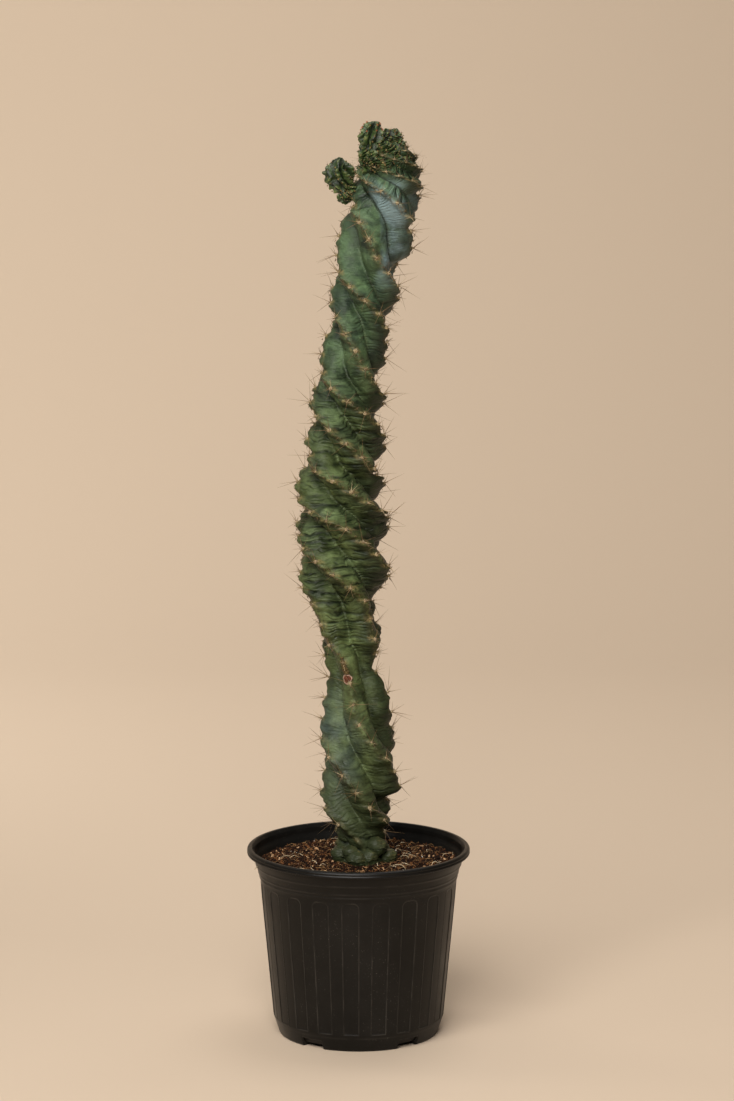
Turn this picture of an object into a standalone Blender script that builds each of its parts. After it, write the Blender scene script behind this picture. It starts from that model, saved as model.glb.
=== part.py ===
"""Potted spiral cactus at its real size, in metres, with +Z up.

A fleshy column with four ribs leans and winds up out of the soil of a black nursery pot.
Two young heads grow from its tip and two pups from its left shoulder.
The origin is where the pot's axis meets the floor, and the front looks along -Y.
Angles round the pot and the column count from the front towards +X.
"""

import math

import bmesh
import bpy
import numpy as np
from mathutils import Matrix, Vector

MM = 0.001

# Pot, in mm, with (radius, height) corners of its outer wall from the foot up
POT_STEPS = 60
POT_TURN = -4.6
SKIN = 2.2
FOOT_RADIUS = 91.2
FOOT_EDGE = 1.3
FOOT_INNER_RADIUS = 61.0
FOOT_BAND = (96.3, 16.5)
WALL_LOW = (97.4, 20.0)
WALL_HIGH = (110.0, 153.0)
COLLAR_LOW = (112.1, 181.0)
COLLAR_MIDDLE = (116.0, 194.0)
COLLAR_HIGH = (120.4, 206.0)
WALL_CORNERS = (FOOT_BAND, WALL_LOW, WALL_HIGH, COLLAR_LOW, COLLAR_MIDDLE, COLLAR_HIGH)
FLOOR_THICKNESS = 2.5
ARCH_OF_FLOOR = 3.0

# Rim, rolled outwards and down into a skirt with a channel behind it
RIM_RADIUS = 127.0
RIM_TOP = 216.5
RIM_WIDTH = 6.0
RIM_ROUND = 1.6
RIM_SKIRT = 7.0
RIM_SKIN = 2.7

# Panels pressed into the wall, and drainage notches in the foot
PANELS = 20
PANEL_WIDTH = 19.0
PANEL_FOOT = 20.8
PANEL_TOP = 177.0
PANEL_CORNER = PANEL_WIDTH / 3
PANEL_DEPTH = 0.9
PLATE_THICKNESS = 6.0
NOTCHES = 5
NOTCH_FIRST = -30.0
NOTCH_WIDTH = 26.0
NOTCH_HEIGHT = 11.0
NOTCH_INNER_RADIUS = 80.0
NOTCH_OUTER_RADIUS = 103.0
NOTCH_OVERLAP = 2.0

# Soil
SOIL_TOP = 201.0
SOIL_FLAT_RADIUS = 48.0
SOIL_SHOULDER_RADIUS = 94.0
SOIL_SHOULDER_DROP = 1.5
SOIL_EDGE_DROP = 2.5
CLEARANCE = 0.4

# Column: height, sideways lean and radius over the crests of the ribs
COLUMN_FOOT = SOIL_TOP + 0.3
COLUMN_TIP = 1018.0
DOME_START = 980.0
DOME_OPEN = 0.985
LEAN_REACH = 16
TWIST_REACH = 10
HEIGHT_STEP = 1.0
COLUMN_STATIONS = (
    (201, 4, 33),
    (232, 0, 32),
    (262, 1, 38.5),
    (293, 3, 44.6),
    (340, -2, 42.5),
    (386, -1, 37.5),
    (424, -8, 30),
    (461, -9, 36.5),
    (501, -16, 43),
    (536, -15, 50),
    (582, -18.5, 52),
    (633, -20, 49.5),
    (681, -15, 44.5),
    (729, -12, 41),
    (786, -5, 35.5),
    (847, 8, 38.5),
    (903, 17.5, 40.8),
    (948, 28.5, 40),
    (980, 33, 36.5),
    (1002, 34.5, 35),
    (1018, 39, 34),
)

# Twist: height, and the angle at which the first rib stands there
TWIST_STATIONS = (
    (201, 935),
    (257, 848),
    (280, 810),
    (300, 793),
    (340, 748),
    (376, 714),
    (415, 714),
    (445, 700),
    (457, 674),
    (502, 670),
    (533, 625),
    (563, 582),
    (595, 545),
    (615, 495),
    (643, 448),
    (659, 400),
    (677, 378),
    (706, 326),
    (737, 260),
    (754, 224),
    (772, 197),
    (790, 182),
    (823, 133),
    (868, 45),
    (886, 13),
    (925, -22),
    (946, -58),
    (960, -82),
    (975, -125),
    (989, -190),
    (997, -235),
    (1008, -315),
    (1018, -360),
)

# Ribs: where the points of a section lie between the groove at -1, the crest at 0 and the next groove
RIBS = 4
RIB_STEPS = (-1.0, -0.65, -0.3, 0.0, 0.3, 0.65)
RIB_FULLNESS = 1.45
GROOVE_DEPTH = 0.6

# Teeth along each crest, one below each spine cushion
TOOTH_SPACING = 24.0
TIP_TOOTH_SPACING = 13.0
TOOTH_HEIGHT = 0.06
TIP_TOOTH_HEIGHT = 0.09
TIP_GROWTH = (960.0, 990.0)
RINGS_PER_TOOTH = 3
TOOTH_SPREAD = 0.6
TOOTH_LEAN = 1.3
SOFT_ANGLE = 60

# Young heads and pups: foot, bend and tip of the axis, radii along it, ribs, turn and teeth
HEAD_TEETH_HEIGHT = 0.2
HEAD_GROOVE_DEPTH = 0.36
HEAD_RINGS = 11
HEAD_ROUNDING = 0.6
SEAT_CLEARANCE = 0.6
HEADS = {
    "head_tall": {
        "axis": ((11, -16, 980), (11, -17, 1010), (17.5, -12, 1040.5)),
        "radii": (9.5, 10.5, 9.5, 12.5, 13.5),
        "ribs": 7,
        "turn": 30,
        "teeth": 5,
    },
    "head_back": {
        "axis": ((39, 2, 1015.2), (40, 4, 1021), (40, 5, 1031)),
        "radii": (6.5, 8.5, 9.5, 9.5, 8.5),
        "ribs": 6,
        "turn": 30,
        "teeth": 3,
    },
    "pup_side": {
        "axis": ((-1, -4, 955), (-23, -5, 965), (-23, -6, 1001)),
        "radii": (6.5, 7.5, 14, 17, 15),
        "ribs": 7,
        "turn": -40,
        "teeth": 4,
    },
    "pup_small": {
        "axis": ((-5, -9, 950), (-12, -12, 954), (-19, -14, 960)),
        "radii": (5, 6, 6.8, 6.5, 5.5),
        "ribs": 5,
        "turn": 20,
        "teeth": 2,
    },
}

COLOURS = {
    "pot": (0.012, 0.011, 0.010),
    "soil": (0.055, 0.028, 0.016),
    "flesh": (0.050, 0.095, 0.042),
    "young": (0.040, 0.085, 0.022),
}


def clear_scene():
    for old in list(bpy.data.objects):
        bpy.data.objects.remove(old, do_unlink=True)


def collection_named(name, is_helper=False):
    collection = bpy.data.collections.new(name)
    bpy.context.scene.collection.children.link(collection)
    collection.hide_render = is_helper
    return collection


def principled(name, colour, roughness):
    material = bpy.data.materials.new(name)
    material.use_nodes = True
    shader = material.node_tree.nodes["Principled BSDF"]
    shader.inputs["Base Color"].default_value = (*colour, 1.0)
    shader.inputs["Roughness"].default_value = roughness
    shader.inputs["Metallic"].default_value = 0.0
    return material


def add_object(name, mesh, collection, material=None):
    obj = bpy.data.objects.new(name, mesh)
    collection.objects.link(obj)
    if material:
        mesh.materials.append(material)
    return obj


def make_cutter(obj):
    obj.hide_render = True
    obj.display_type = "WIRE"


def cut(obj, name, cutter):
    modifier = obj.modifiers.new(name, "BOOLEAN")
    modifier.operation = "DIFFERENCE"
    modifier.solver = "EXACT"
    if isinstance(cutter, bpy.types.Collection):
        modifier.operand_type = "COLLECTION"
        modifier.collection = cutter
    else:
        modifier.object = cutter


def turned(name, profile, collection, material):
    """A profile of (radius, height) points in mm, turned round the pot's axis."""
    mesh = bpy.data.meshes.new(name)
    points = [(radius * MM, 0.0, height * MM) for radius, height in profile]
    edges = [(i, i + 1) for i in range(len(points) - 1)]
    mesh.from_pydata(points, edges, [])
    obj = add_object(name, mesh, collection, material)
    obj.rotation_euler.z = math.radians(POT_TURN)
    screw = obj.modifiers.new("Turn", "SCREW")
    screw.axis = "Z"
    screw.steps = POT_STEPS
    screw.render_steps = POT_STEPS
    screw.use_merge_vertices = True
    screw.merge_threshold = 0.0001
    return obj


def wall_radius(height):
    """Outer radius of the pot's wall, in mm."""
    heights = [z for _, z in WALL_CORNERS]
    return float(np.interp(height, heights, [r for r, _ in WALL_CORNERS]))


def pot_profile():
    """Inside of the floor, up the inner wall, over the rim, down the outer wall and under the foot."""
    floor_top = ARCH_OF_FLOOR + FLOOR_THICKNESS
    rim_inner = RIM_RADIUS - RIM_WIDTH
    skirt_foot = RIM_TOP - RIM_SKIRT
    skirt_inner = RIM_RADIUS - SKIN
    channel_top = RIM_TOP - RIM_SKIN
    inside = [(0.0, floor_top), (FOOT_RADIUS - RIM_ROUND, floor_top)]
    inside += [(r - SKIN, z) for r, z in WALL_CORNERS if (r, z) != WALL_LOW]
    inside += [(rim_inner, RIM_TOP - RIM_ROUND)]
    rim = [
        (rim_inner + RIM_ROUND, RIM_TOP),
        (RIM_RADIUS - RIM_ROUND, RIM_TOP),
        (RIM_RADIUS, RIM_TOP - RIM_ROUND),
        (RIM_RADIUS, skirt_foot),
        (skirt_inner, skirt_foot),
        (skirt_inner, channel_top),
        (rim_inner + RIM_ROUND, channel_top),
    ]
    foot = [
        (FOOT_RADIUS, FOOT_EDGE),
        (FOOT_RADIUS - FOOT_EDGE, 0.0),
        (FOOT_INNER_RADIUS, 0.0),
        (FOOT_INNER_RADIUS - ARCH_OF_FLOOR, ARCH_OF_FLOOR),
        (0.0, ARCH_OF_FLOOR),
    ]
    return inside + rim + list(reversed(WALL_CORNERS)) + foot


def panel_plate(tools):
    """Mesh of one upright plate with an arched top, its foot at the origin and its face along +Z."""
    rise, run = WALL_HIGH[1] - WALL_LOW[1], WALL_HIGH[0] - WALL_LOW[0]
    length = (PANEL_TOP - PANEL_FOOT) * math.hypot(rise, run) / rise
    half, corner = PANEL_WIDTH / 2, PANEL_CORNER
    outline = [(-half, 0.0), (half, 0.0)]
    for degrees in range(0, 91, 30):
        turn = math.radians(degrees)
        across = half - corner + corner * math.cos(turn)
        outline.append((across, length - corner + corner * math.sin(turn)))
    outline += [(-x, y) for x, y in reversed(outline[2:])]
    curve = bpy.data.curves.new("panel_outline", "CURVE")
    curve.dimensions = "2D"
    curve.fill_mode = "BOTH"
    curve.extrude = PLATE_THICKNESS / 2 * MM
    spline = curve.splines.new("POLY")
    spline.points.add(len(outline) - 1)
    for point, (x, y) in zip(spline.points, outline):
        point.co = (x * MM, y * MM, 0.0, 1.0)
    spline.use_cyclic_u = True
    guide = bpy.data.objects.new("panel_outline", curve)
    tools.objects.link(guide)
    bpy.context.view_layer.update()
    evaluated = guide.evaluated_get(bpy.context.evaluated_depsgraph_get())
    mesh = bpy.data.meshes.new_from_object(evaluated)
    bpy.data.objects.remove(guide, do_unlink=True)
    weld = bmesh.new()
    weld.from_mesh(mesh)
    bmesh.ops.remove_doubles(weld, verts=weld.verts, dist=0.00001)
    bmesh.ops.recalc_face_normals(weld, faces=weld.faces)
    weld.to_mesh(mesh)
    weld.free()
    return mesh


def add_panel_cutters(tools):
    """Plates set round the wall, leaning with it and sunk in by the depth of a panel."""
    mesh = panel_plate(tools)
    lean = math.atan2(WALL_HIGH[0] - WALL_LOW[0], WALL_HIGH[1] - WALL_LOW[1])
    upright = Matrix.Rotation(math.radians(90) + lean, 4, "X")
    out = wall_radius(PANEL_FOOT) + PLATE_THICKNESS / 2 - PANEL_DEPTH
    at_foot = Matrix.Translation((0, -out * MM, PANEL_FOOT * MM))
    for panel in range(PANELS):
        turn = math.radians(POT_TURN + panel * 360 / PANELS)
        cutter = add_object(f"panel_cutter_{panel:02d}", mesh, tools)
        cutter.matrix_world = Matrix.Rotation(turn, 4, "Z") @ at_foot @ upright
        make_cutter(cutter)


def add_notch_cutters(tools):
    """Blocks that open the foot's edge from below, round all of it."""
    block = bmesh.new()
    bmesh.ops.create_cube(block, size=1.0)
    depth = NOTCH_OUTER_RADIUS - NOTCH_INNER_RADIUS
    tall = NOTCH_HEIGHT + NOTCH_OVERLAP
    size = Matrix.Diagonal((NOTCH_WIDTH * MM, depth * MM, tall * MM, 1.0))
    middle = Vector((0, -NOTCH_INNER_RADIUS - depth / 2, NOTCH_HEIGHT - tall / 2)) * MM
    bmesh.ops.transform(block, matrix=Matrix.Translation(middle) @ size, verts=block.verts)
    mesh = bpy.data.meshes.new("notch_cutter")
    block.to_mesh(mesh)
    block.free()
    for notch in range(NOTCHES):
        cutter = add_object(f"notch_cutter_{notch}", mesh, tools)
        turn = POT_TURN + NOTCH_FIRST + notch * 360 / NOTCHES
        cutter.rotation_euler.z = math.radians(turn)
        make_cutter(cutter)


def build_pot(parts):
    pot = turned("pot", pot_profile(), parts, principled("black_plastic", COLOURS["pot"], 0.5))
    panels = collection_named("pot_panel_cutters", is_helper=True)
    add_panel_cutters(panels)
    notches = collection_named("pot_notch_cutters", is_helper=True)
    add_notch_cutters(notches)
    cut(pot, "Panels", panels)
    cut(pot, "Notches", notches)
    return pot


def build_soil(parts):
    """The filling of the pot, level round the column and a little lower at the wall."""
    edge = SOIL_TOP - SOIL_EDGE_DROP
    floor = ARCH_OF_FLOOR + FLOOR_THICKNESS + CLEARANCE
    inset = SKIN + CLEARANCE
    top = [
        (0.0, SOIL_TOP),
        (SOIL_FLAT_RADIUS, SOIL_TOP),
        (SOIL_SHOULDER_RADIUS, SOIL_TOP - SOIL_SHOULDER_DROP),
        (wall_radius(edge) - inset, edge),
    ]
    side = [(r - inset, z) for r, z in (COLLAR_MIDDLE, COLLAR_LOW, WALL_HIGH, FOOT_BAND)]
    profile = top + side + [(FOOT_RADIUS - inset, floor), (0.0, floor)]
    return turned("soil", profile, parts, principled("soil", COLOURS["soil"], 0.95))


def smooth_line(stations, column, heights, reach):
    """One column of the stations at each height, with its corners rounded over a reach in mm."""
    values = np.interp(heights, [row[0] for row in stations], [row[column] for row in stations])
    steps = int(reach / HEIGHT_STEP)
    window = np.hanning(2 * steps + 3)[1:-1]
    padded = np.pad(values, steps, mode="reflect", reflect_type="odd")
    return np.convolve(padded, window / window.sum(), mode="valid")


def tooth_at(count, rib):
    """Height of a crest's teeth from 0 to 1, each steep above and long below."""
    phase = (count + (2 * rib % 3) / 3) % 1.0
    return math.sin(math.pi * phase**TOOTH_LEAN)


def section(radius, turn, ribs, groove, teeth):
    """Points round one ribbed section in its own plane, in mm."""
    points = []
    for rib in range(ribs):
        for step in RIB_STEPS:
            away = abs(step)
            swell = 1 + teeth[rib] * max(0.0, 1 - away / TOOTH_SPREAD)
            reach = radius * swell * (1 - groove * away**RIB_FULLNESS)
            angle = math.radians(turn + (rib + step / 2) * 360 / ribs)
            points.append(Vector((reach * math.sin(angle), -reach * math.cos(angle), 0.0)))
    return points


def column_sections():
    """(centre, facing, outline) of each ring of the column, from the flat foot to the domed tip."""
    heights = np.arange(COLUMN_FOOT, COLUMN_TIP + HEIGHT_STEP, HEIGHT_STEP)
    lean = smooth_line(COLUMN_STATIONS, 1, heights, LEAN_REACH)
    dome = np.clip((heights - DOME_START) / (COLUMN_TIP - DOME_START), 0, DOME_OPEN)
    radius = smooth_line(COLUMN_STATIONS, 2, heights, LEAN_REACH) * np.sqrt(1 - dome**2)
    twist = smooth_line(TWIST_STATIONS, 1, heights, TWIST_REACH)
    tip = np.clip((heights - TIP_GROWTH[0]) / (TIP_GROWTH[1] - TIP_GROWTH[0]), 0, 1)
    spacing = TOOTH_SPACING + tip * (TIP_TOOTH_SPACING - TOOTH_SPACING)
    tooth_size = TOOTH_HEIGHT + tip * (TIP_TOOTH_HEIGHT - TOOTH_HEIGHT)
    along = np.hypot(np.gradient(heights), radius * np.radians(np.gradient(twist)))
    count = np.cumsum(along / spacing)
    rings = np.arange(count[0], count[-1], 1 / RINGS_PER_TOOTH)
    upright = Matrix.Identity(3)
    sections = []
    for ring in rings:
        z, x, r, turn, size = (
            float(np.interp(ring, count, line)) for line in (heights, lean, radius, twist, tooth_size)
        )
        teeth = [size * tooth_at(ring, rib) for rib in range(RIBS)]
        outline = section(r, turn, RIBS, GROOVE_DEPTH, teeth)
        sections.append((Vector((x, 0.0, z)), upright, outline))
    return sections


def head_sections(head):
    """Rings of a young head, square to its bent axis and rounded at both ends."""
    foot, bend, tip = (Vector(point) for point in head["axis"])
    sections = []
    for ring in range(HEAD_RINGS):
        along = 0.5 - 0.5 * math.cos(math.pi * (ring + 0.5) / HEAD_RINGS)
        centre = foot.lerp(bend, along).lerp(bend.lerp(tip, along), along)
        tangent = (bend - foot).lerp(tip - bend, along)
        facing = tangent.to_track_quat("Z", "Y").to_matrix()
        stations = np.linspace(0, 1, len(head["radii"]))
        past = max(0.0, (along - HEAD_ROUNDING) / (1 - HEAD_ROUNDING))
        rounding = math.sqrt(1 - past**2)
        radius = float(np.interp(along, stations, head["radii"])) * rounding
        count = along * head["teeth"]
        teeth = [HEAD_TEETH_HEIGHT * tooth_at(count, rib) for rib in range(head["ribs"])]
        turn = head["turn"] * along
        outline = section(radius, turn, head["ribs"], HEAD_GROOVE_DEPTH, teeth)
        sections.append((centre, facing, outline))
    return sections


def lofted(name, sections, first_end=None, last_end=None):
    """Mesh through the sections, each end flat or drawn to a point."""
    loft = bmesh.new()
    rows = []
    for centre, facing, outline in sections:
        rows.append([loft.verts.new((centre + facing @ point) * MM) for point in outline])
    around = len(rows[0])
    for low, high in zip(rows, rows[1:]):
        for i in range(around):
            j = (i + 1) % around
            loft.faces.new((low[i], low[j], high[j]))
            loft.faces.new((low[i], high[j], high[i]))
    for row, end in ((rows[0], first_end), (rows[-1], last_end)):
        if end is None:
            loft.faces.new(row)
            continue
        point = loft.verts.new(Vector(end) * MM)
        for i in range(around):
            loft.faces.new((row[i], row[(i + 1) % around], point))
    bmesh.ops.recalc_face_normals(loft, faces=loft.faces)
    mesh = bpy.data.meshes.new(name)
    loft.to_mesh(mesh)
    loft.free()
    mesh.shade_smooth()
    mesh.set_sharp_from_angle(angle=math.radians(SOFT_ANGLE))
    return mesh


def column_mesh():
    sections = column_sections()
    top, _, _ = sections[-1]
    return lofted("stem", sections, last_end=top + Vector((0, 0, HEIGHT_STEP)))


def head_mesh(name, head):
    foot, _, tip = head["axis"]
    return lofted(name, head_sections(head), first_end=foot, last_end=tip)


def seat_cutter(carrier, tools):
    """The carrier's own shape, grown by the clearance along its surface."""
    cutter = add_object(f"{carrier.name}_seat", carrier.data, tools)
    grow = cutter.modifiers.new("Clearance", "DISPLACE")
    grow.strength = SEAT_CLEARANCE * MM
    grow.mid_level = 0.0
    make_cutter(cutter)
    return cutter


def build_plant(parts):
    """The column, and each head cut back from the column and from the head it grows beside."""
    flesh = principled("cactus_flesh", COLOURS["flesh"], 0.55)
    young = principled("young_growth", COLOURS["young"], 0.6)
    stem = add_object("stem", column_mesh(), parts, flesh)
    seats = collection_named("seat_cutters", is_helper=True)
    stem_seat = seat_cutter(stem, seats)
    for name, head in HEADS.items():
        obj = add_object(name, head_mesh(name, head), parts, young)
        cut(obj, "Seat on the stem", stem_seat)
        if name == "pup_small":
            cut(obj, "Seat on the pup", seat_cutter(parts.objects["pup_side"], seats))


def main():
    clear_scene()
    parts = collection_named("potted_spiral_cactus")
    build_pot(parts)
    build_soil(parts)
    build_plant(parts)


main()
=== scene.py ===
"""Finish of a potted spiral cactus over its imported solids, in metres, with +Z up.

The column, its young heads and pups follow the solids' own rule of ribs, twist and teeth, at a finer grain.
Folds, felt pads, spines, soil and the moulded pot are added at their real sizes, given in mm below.
Angles round the pot and the column count from the front, -Y, towards +X.
"""

import math
from functools import partial

import bmesh
import bpy
import numpy as np
from mathutils import Euler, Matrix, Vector, noise


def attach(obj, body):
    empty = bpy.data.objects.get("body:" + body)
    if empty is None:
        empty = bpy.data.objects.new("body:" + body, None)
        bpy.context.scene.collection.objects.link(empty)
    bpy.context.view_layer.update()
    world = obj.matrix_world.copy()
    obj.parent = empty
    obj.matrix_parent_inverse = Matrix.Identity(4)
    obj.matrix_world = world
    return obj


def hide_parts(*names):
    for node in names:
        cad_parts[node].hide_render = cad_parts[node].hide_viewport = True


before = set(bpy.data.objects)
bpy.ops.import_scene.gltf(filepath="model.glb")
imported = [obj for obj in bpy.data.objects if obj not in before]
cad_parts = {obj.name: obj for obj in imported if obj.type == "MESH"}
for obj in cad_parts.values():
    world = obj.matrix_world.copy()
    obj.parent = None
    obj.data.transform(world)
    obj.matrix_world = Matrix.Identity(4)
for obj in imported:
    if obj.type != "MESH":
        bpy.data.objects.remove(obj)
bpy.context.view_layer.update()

MM = 0.001
SEED = 7

# Column: height, sideways lean and radius over the crests of the ribs
COLUMN_FOOT = 201.3
COLUMN_TIP = 1018.0
DOME_START = 980.0
LEAN_REACH = 16
TWIST_REACH = 10
HEIGHT_STEP = 1.0
COLUMN_RINGS = 930
COLUMN_STATIONS = (
    (201, 4, 30), (212, 3, 26), (232, 3, 26.5), (246, 1, 36), (262, 1, 40), (293, 3, 44.6),
    (340, -2, 42.5), (386, -1, 37.5), (424, -8, 30), (461, -9, 36.5), (501, -16, 43), (536, -15, 50),
    (582, -18.5, 52), (633, -20, 49.5), (681, -15, 44.5), (729, -12, 41), (786, -5, 35.5),
    (847, 8, 38.5), (903, 17.5, 40.8), (948, 28.5, 40), (980, 33, 36.5), (1002, 34.5, 35),
    (1018, 39, 34),
)

# Twist: height, and the angle at which the first rib stands there
TWIST_STATIONS = (
    (201, 935), (257, 848), (280, 810), (300, 793), (340, 748), (376, 714), (415, 714), (445, 700),
    (457, 674), (502, 670), (533, 625), (563, 582), (595, 545), (615, 495), (643, 448), (659, 400),
    (677, 378), (706, 326), (737, 260), (754, 224), (772, 197), (790, 182), (823, 133), (868, 45),
    (886, 13), (925, -22), (946, -58), (960, -82), (975, -125), (989, -190), (997, -235), (1008, -315),
    (1018, -360),
)

# Ribs and their teeth
RIBS = 4
STEPS_PER_RIB = 26
CREST_CROWDING = 1.35
RIB_FULLNESS = 2.0
HEAD_FULLNESS = 1.45
CREST_REACH = 0.95
GROOVE_DEPTH = 0.52
TIP_GROOVE_DEPTH = 0.24
GROOVE_ROUNDING = 0.05
TOOTH_SPACING = 24.0
TIP_TOOTH_SPACING = 13.0
TOOTH_HEIGHT = 0.06
TIP_TOOTH_HEIGHT = 0.035
TIP_GROWTH = (960.0, 990.0)
TIP_PAD_LOSS = 0.45
TOOTH_SPREAD = 0.6
TOOTH_LEAN = 1.3
BEAD_HEIGHT = 3.0
BEAD_SPREAD = 0.15
BEAD_PINCH = 0.25
FOLD_SPACING = 10.5
TIP_FOLD_SPACING = 9.0
FOLD_HEIGHT = 3.6
FOLD_WANDER = 2.2
CREASE_WIDTH = 0.38
FOLD_PUFF = 0.25
SMOOTH_ABOVE = (0.86, 0.89)
FAN_GROWTH = (925.0, 955.0)
FOLD_RELIEF = (
    (201, 0.9), (262, 0.7), (300, 0.5), (430, 0.5), (480, 1.0), (700, 1.0), (770, 0.6), (850, 0.5),
    (880, 0.3), (925, 0.3), (960, 0.85),
)
RING_VALUES = ("turn", "count", "tooth", "folds", "skew", "groove", "relief")

# Neck at the foot, where the ribs fade out
NECK = (232.0, 262.0)
NECK_GROOVE_DEPTH = 0.22

# Uneven growth: height, angle, reach in height and in degrees, push outwards and push upwards
UNEVEN_GROWTH = (
    (603, -90, 45, 75, 0, -12), (500, 90, 9, 40, -8, 0), (482, 90, 6, 40, -6, 0),
    (465, 90, 10, 40, 8, 0), (431, 90, 12, 40, -7, 0), (420, -90, 20, 40, -4.5, 0),
    (935, -90, 10, 40, 5, 0), (937, 90, 8, 40, 6, 0), (975, 90, 7, 40, 6, 0), (878, 90, 9, 40, -9, 0),
    (815, -90, 9, 40, -6, 0), (753, 90, 8, 40, -8, 0), (702, -90, 7, 35, -6, 0),
    (671, -90, 7, 35, -6, 0), (651, 90, 7, 35, -10, 0), (334, 90, 10, 40, 7, 0),
    (819, 90, 8, 40, -4, 0), (712, 90, 6, 40, -4, 0), (565, 90, 7, 40, -4, 0), (612, -90, 8, 40, -5, 0),
    (270, 90, 7, 40, -11, 0), (252, 90, 7, 60, 5, 0), (253, -90, 7, 60, 4, 0), (239, 90, 5, 60, -3, 0),
    (239, -90, 5, 60, -3, 0),
)

# Swellings and dents of the two sides, by their angle: height, reach in height and push outwards
SIDE_REACH = 40.0
SIDE_GROWTH = {
    -90: (
        (949, 8, -5), (926, 9, 3), (886, 6, -3.5), (865, 7, 3), (818, 26, -3.5), (768, 9, -2.3),
        (737, 6, -2.5), (710, 7, 2.2), (697, 6, -3.5), (683, 6, -2.5), (666, 6, -3), (618, 6, -3),
        (590, 9, -3), (562, 7, 4), (522, 7, 2.5), (502, 8, 2.7), (465, 14, 2), (405, 9, -3.3),
        (378, 18, -1.6), (333, 9, 3.2), (301, 8, -3.5), (260, 8, 2.5),
    ),
    90: (
        (962, 7, -3.5), (945, 8, 2.4), (924, 8, -5.5), (902, 6, 2), (874, 9, -8), (845, 20, -2.5),
        (800, 14, -2.5), (745, 7, -3.5), (698, 7, -4), (665, 7, 4), (647, 7, -4.5), (576, 10, 4.5),
        (547, 6, 2.5), (512, 12, -2.8), (474, 6, -4), (459, 7, 3.5), (437, 12, -2), (418, 7, -3),
        (387, 8, -2.5), (361, 12, -3), (324, 8, 4.5), (303, 7, -2.5), (271, 7, -2.8),
    ),
}

# Young heads and pups: foot, bend and tip of the axis, radii along it, ribs, turn and teeth
HEAD_RINGS = 120
HEAD_ROUNDING = 0.6
HEAD_STEPS_PER_RIB = 14
HEAD_TOOTH_HEIGHT = 0.17
HEAD_TOOTH_SPREAD = 0.9
HEAD_PAD_SIZE = 0.36
HEAD_GROOVE_DEPTH = 0.48
HEADS = {
    "head_tall": (
        ((13, -16, 984), (12, -17, 1010), (16.5, -12, 1042)), (10, 11.8, 11.2, 13, 15), 8, 80, 10,
    ),
    "head_back": (
        ((39, 2, 1015.2), (39.5, 4, 1021), (39, 5, 1030.2)), (6.5, 8.5, 9.5, 9.5, 8.5), 9, 40, 6,
    ),
    "pup_side": (
        ((-2, -4, 966), (-21.5, -5, 964.5), (-22.5, -6, 1000)), (5.5, 8.2, 15.2, 16.6, 17.2), 9, -70, 9,
    ),
    "pup_small": (
        ((-7, -9, 956), (-15, -12, 956.5), (-21, -14, 964)), (3.5, 4.8, 6.0, 6.2, 6.0), 8, 20, 6,
    ),
}

# Crowded knobs of the crown, and swollen lobes round the foot: place of the centre and radius
CROWN_KNOBS = (
    (34, -4, 1024, 8.5), (44.5, -2, 1013, 7.5), (50.5, -8, 1000, 7.3), (53.5, -6, 987, 7.0),
    (27, -15, 1010, 9.5), (38, -14, 1008, 9.5), (44, -18, 996, 9.0), (11, -20, 1003, 9.6),
    (20, -24, 994, 9.0), (30, -24, 993, 8.5), (26, 8, 1012, 9.0), (42, 14, 1008, 9.0),
    (14, 4, 1000, 9.0), (54, 8, 996, 8.5),
)
KNOB_RINGS = 48
KNOB_RIBS = 7
LOBE_STEPS = 48
FOOT_LOBES = (
    (-20, -11, 209, 11.0), (-2, -25, 205, 12.0), (11, -23, 207, 11.0), (20, -17, 219, 12.5),
    (33, -8, 205, 10.5), (-9, -20, 212, 10.0), (24, 17, 206, 12.0), (3, 23, 207, 12.0),
    (-17, 12, 206, 12.0),
)

# Felt pads and spines, one cluster just above each tooth
PAD_PHASE = 0.84
PAD_RADIUS = 1.9
PAD_HEIGHT = 1.3
FIRST_PAD = 0.3
LAST_PAD = 0.25
STUB_PHASES = (PAD_PHASE, 0.3, 0.58)
CORKY_FROM = 435.0
RUST_ABOVE = 1035.0
RUST_REACH = 13.0

# Kinds of spines: number on a spot, shortest, longest, thickness, least and most tilt in radians, seed
SPINES = {
    "spines_brown": (7, 4.0, 30.0, 0.32, 0.35, 1.4, SEED),
    "spines_pale": (2, 4.0, 17.0, 0.32, 0.35, 1.4, SEED + 3),
    "crest_stubs": (4, 1.4, 4.5, 0.45, 0.6, 1.6, SEED + 5),
    "head_bristles": (3, 4.0, 9.0, 0.6, 0.35, 1.4, SEED),
    "head_rust_bristles": (18, 3.0, 6.5, 1.0, 0.35, 1.4, SEED),
}

# Dried scar on the front crest, with a torn channel above it
SCAR_HEIGHT = 417.0
SCAR_RADIUS = 5.1
SCAR_DEPTH = 4.5
SCAR_LIFT = 1.4
SCAR_ASIDE = 1.7
SCAR_TURN = 9.0
TORN_KNOBS = 5
TORN_START = 0.16
TORN_STEP = 0.17

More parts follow.
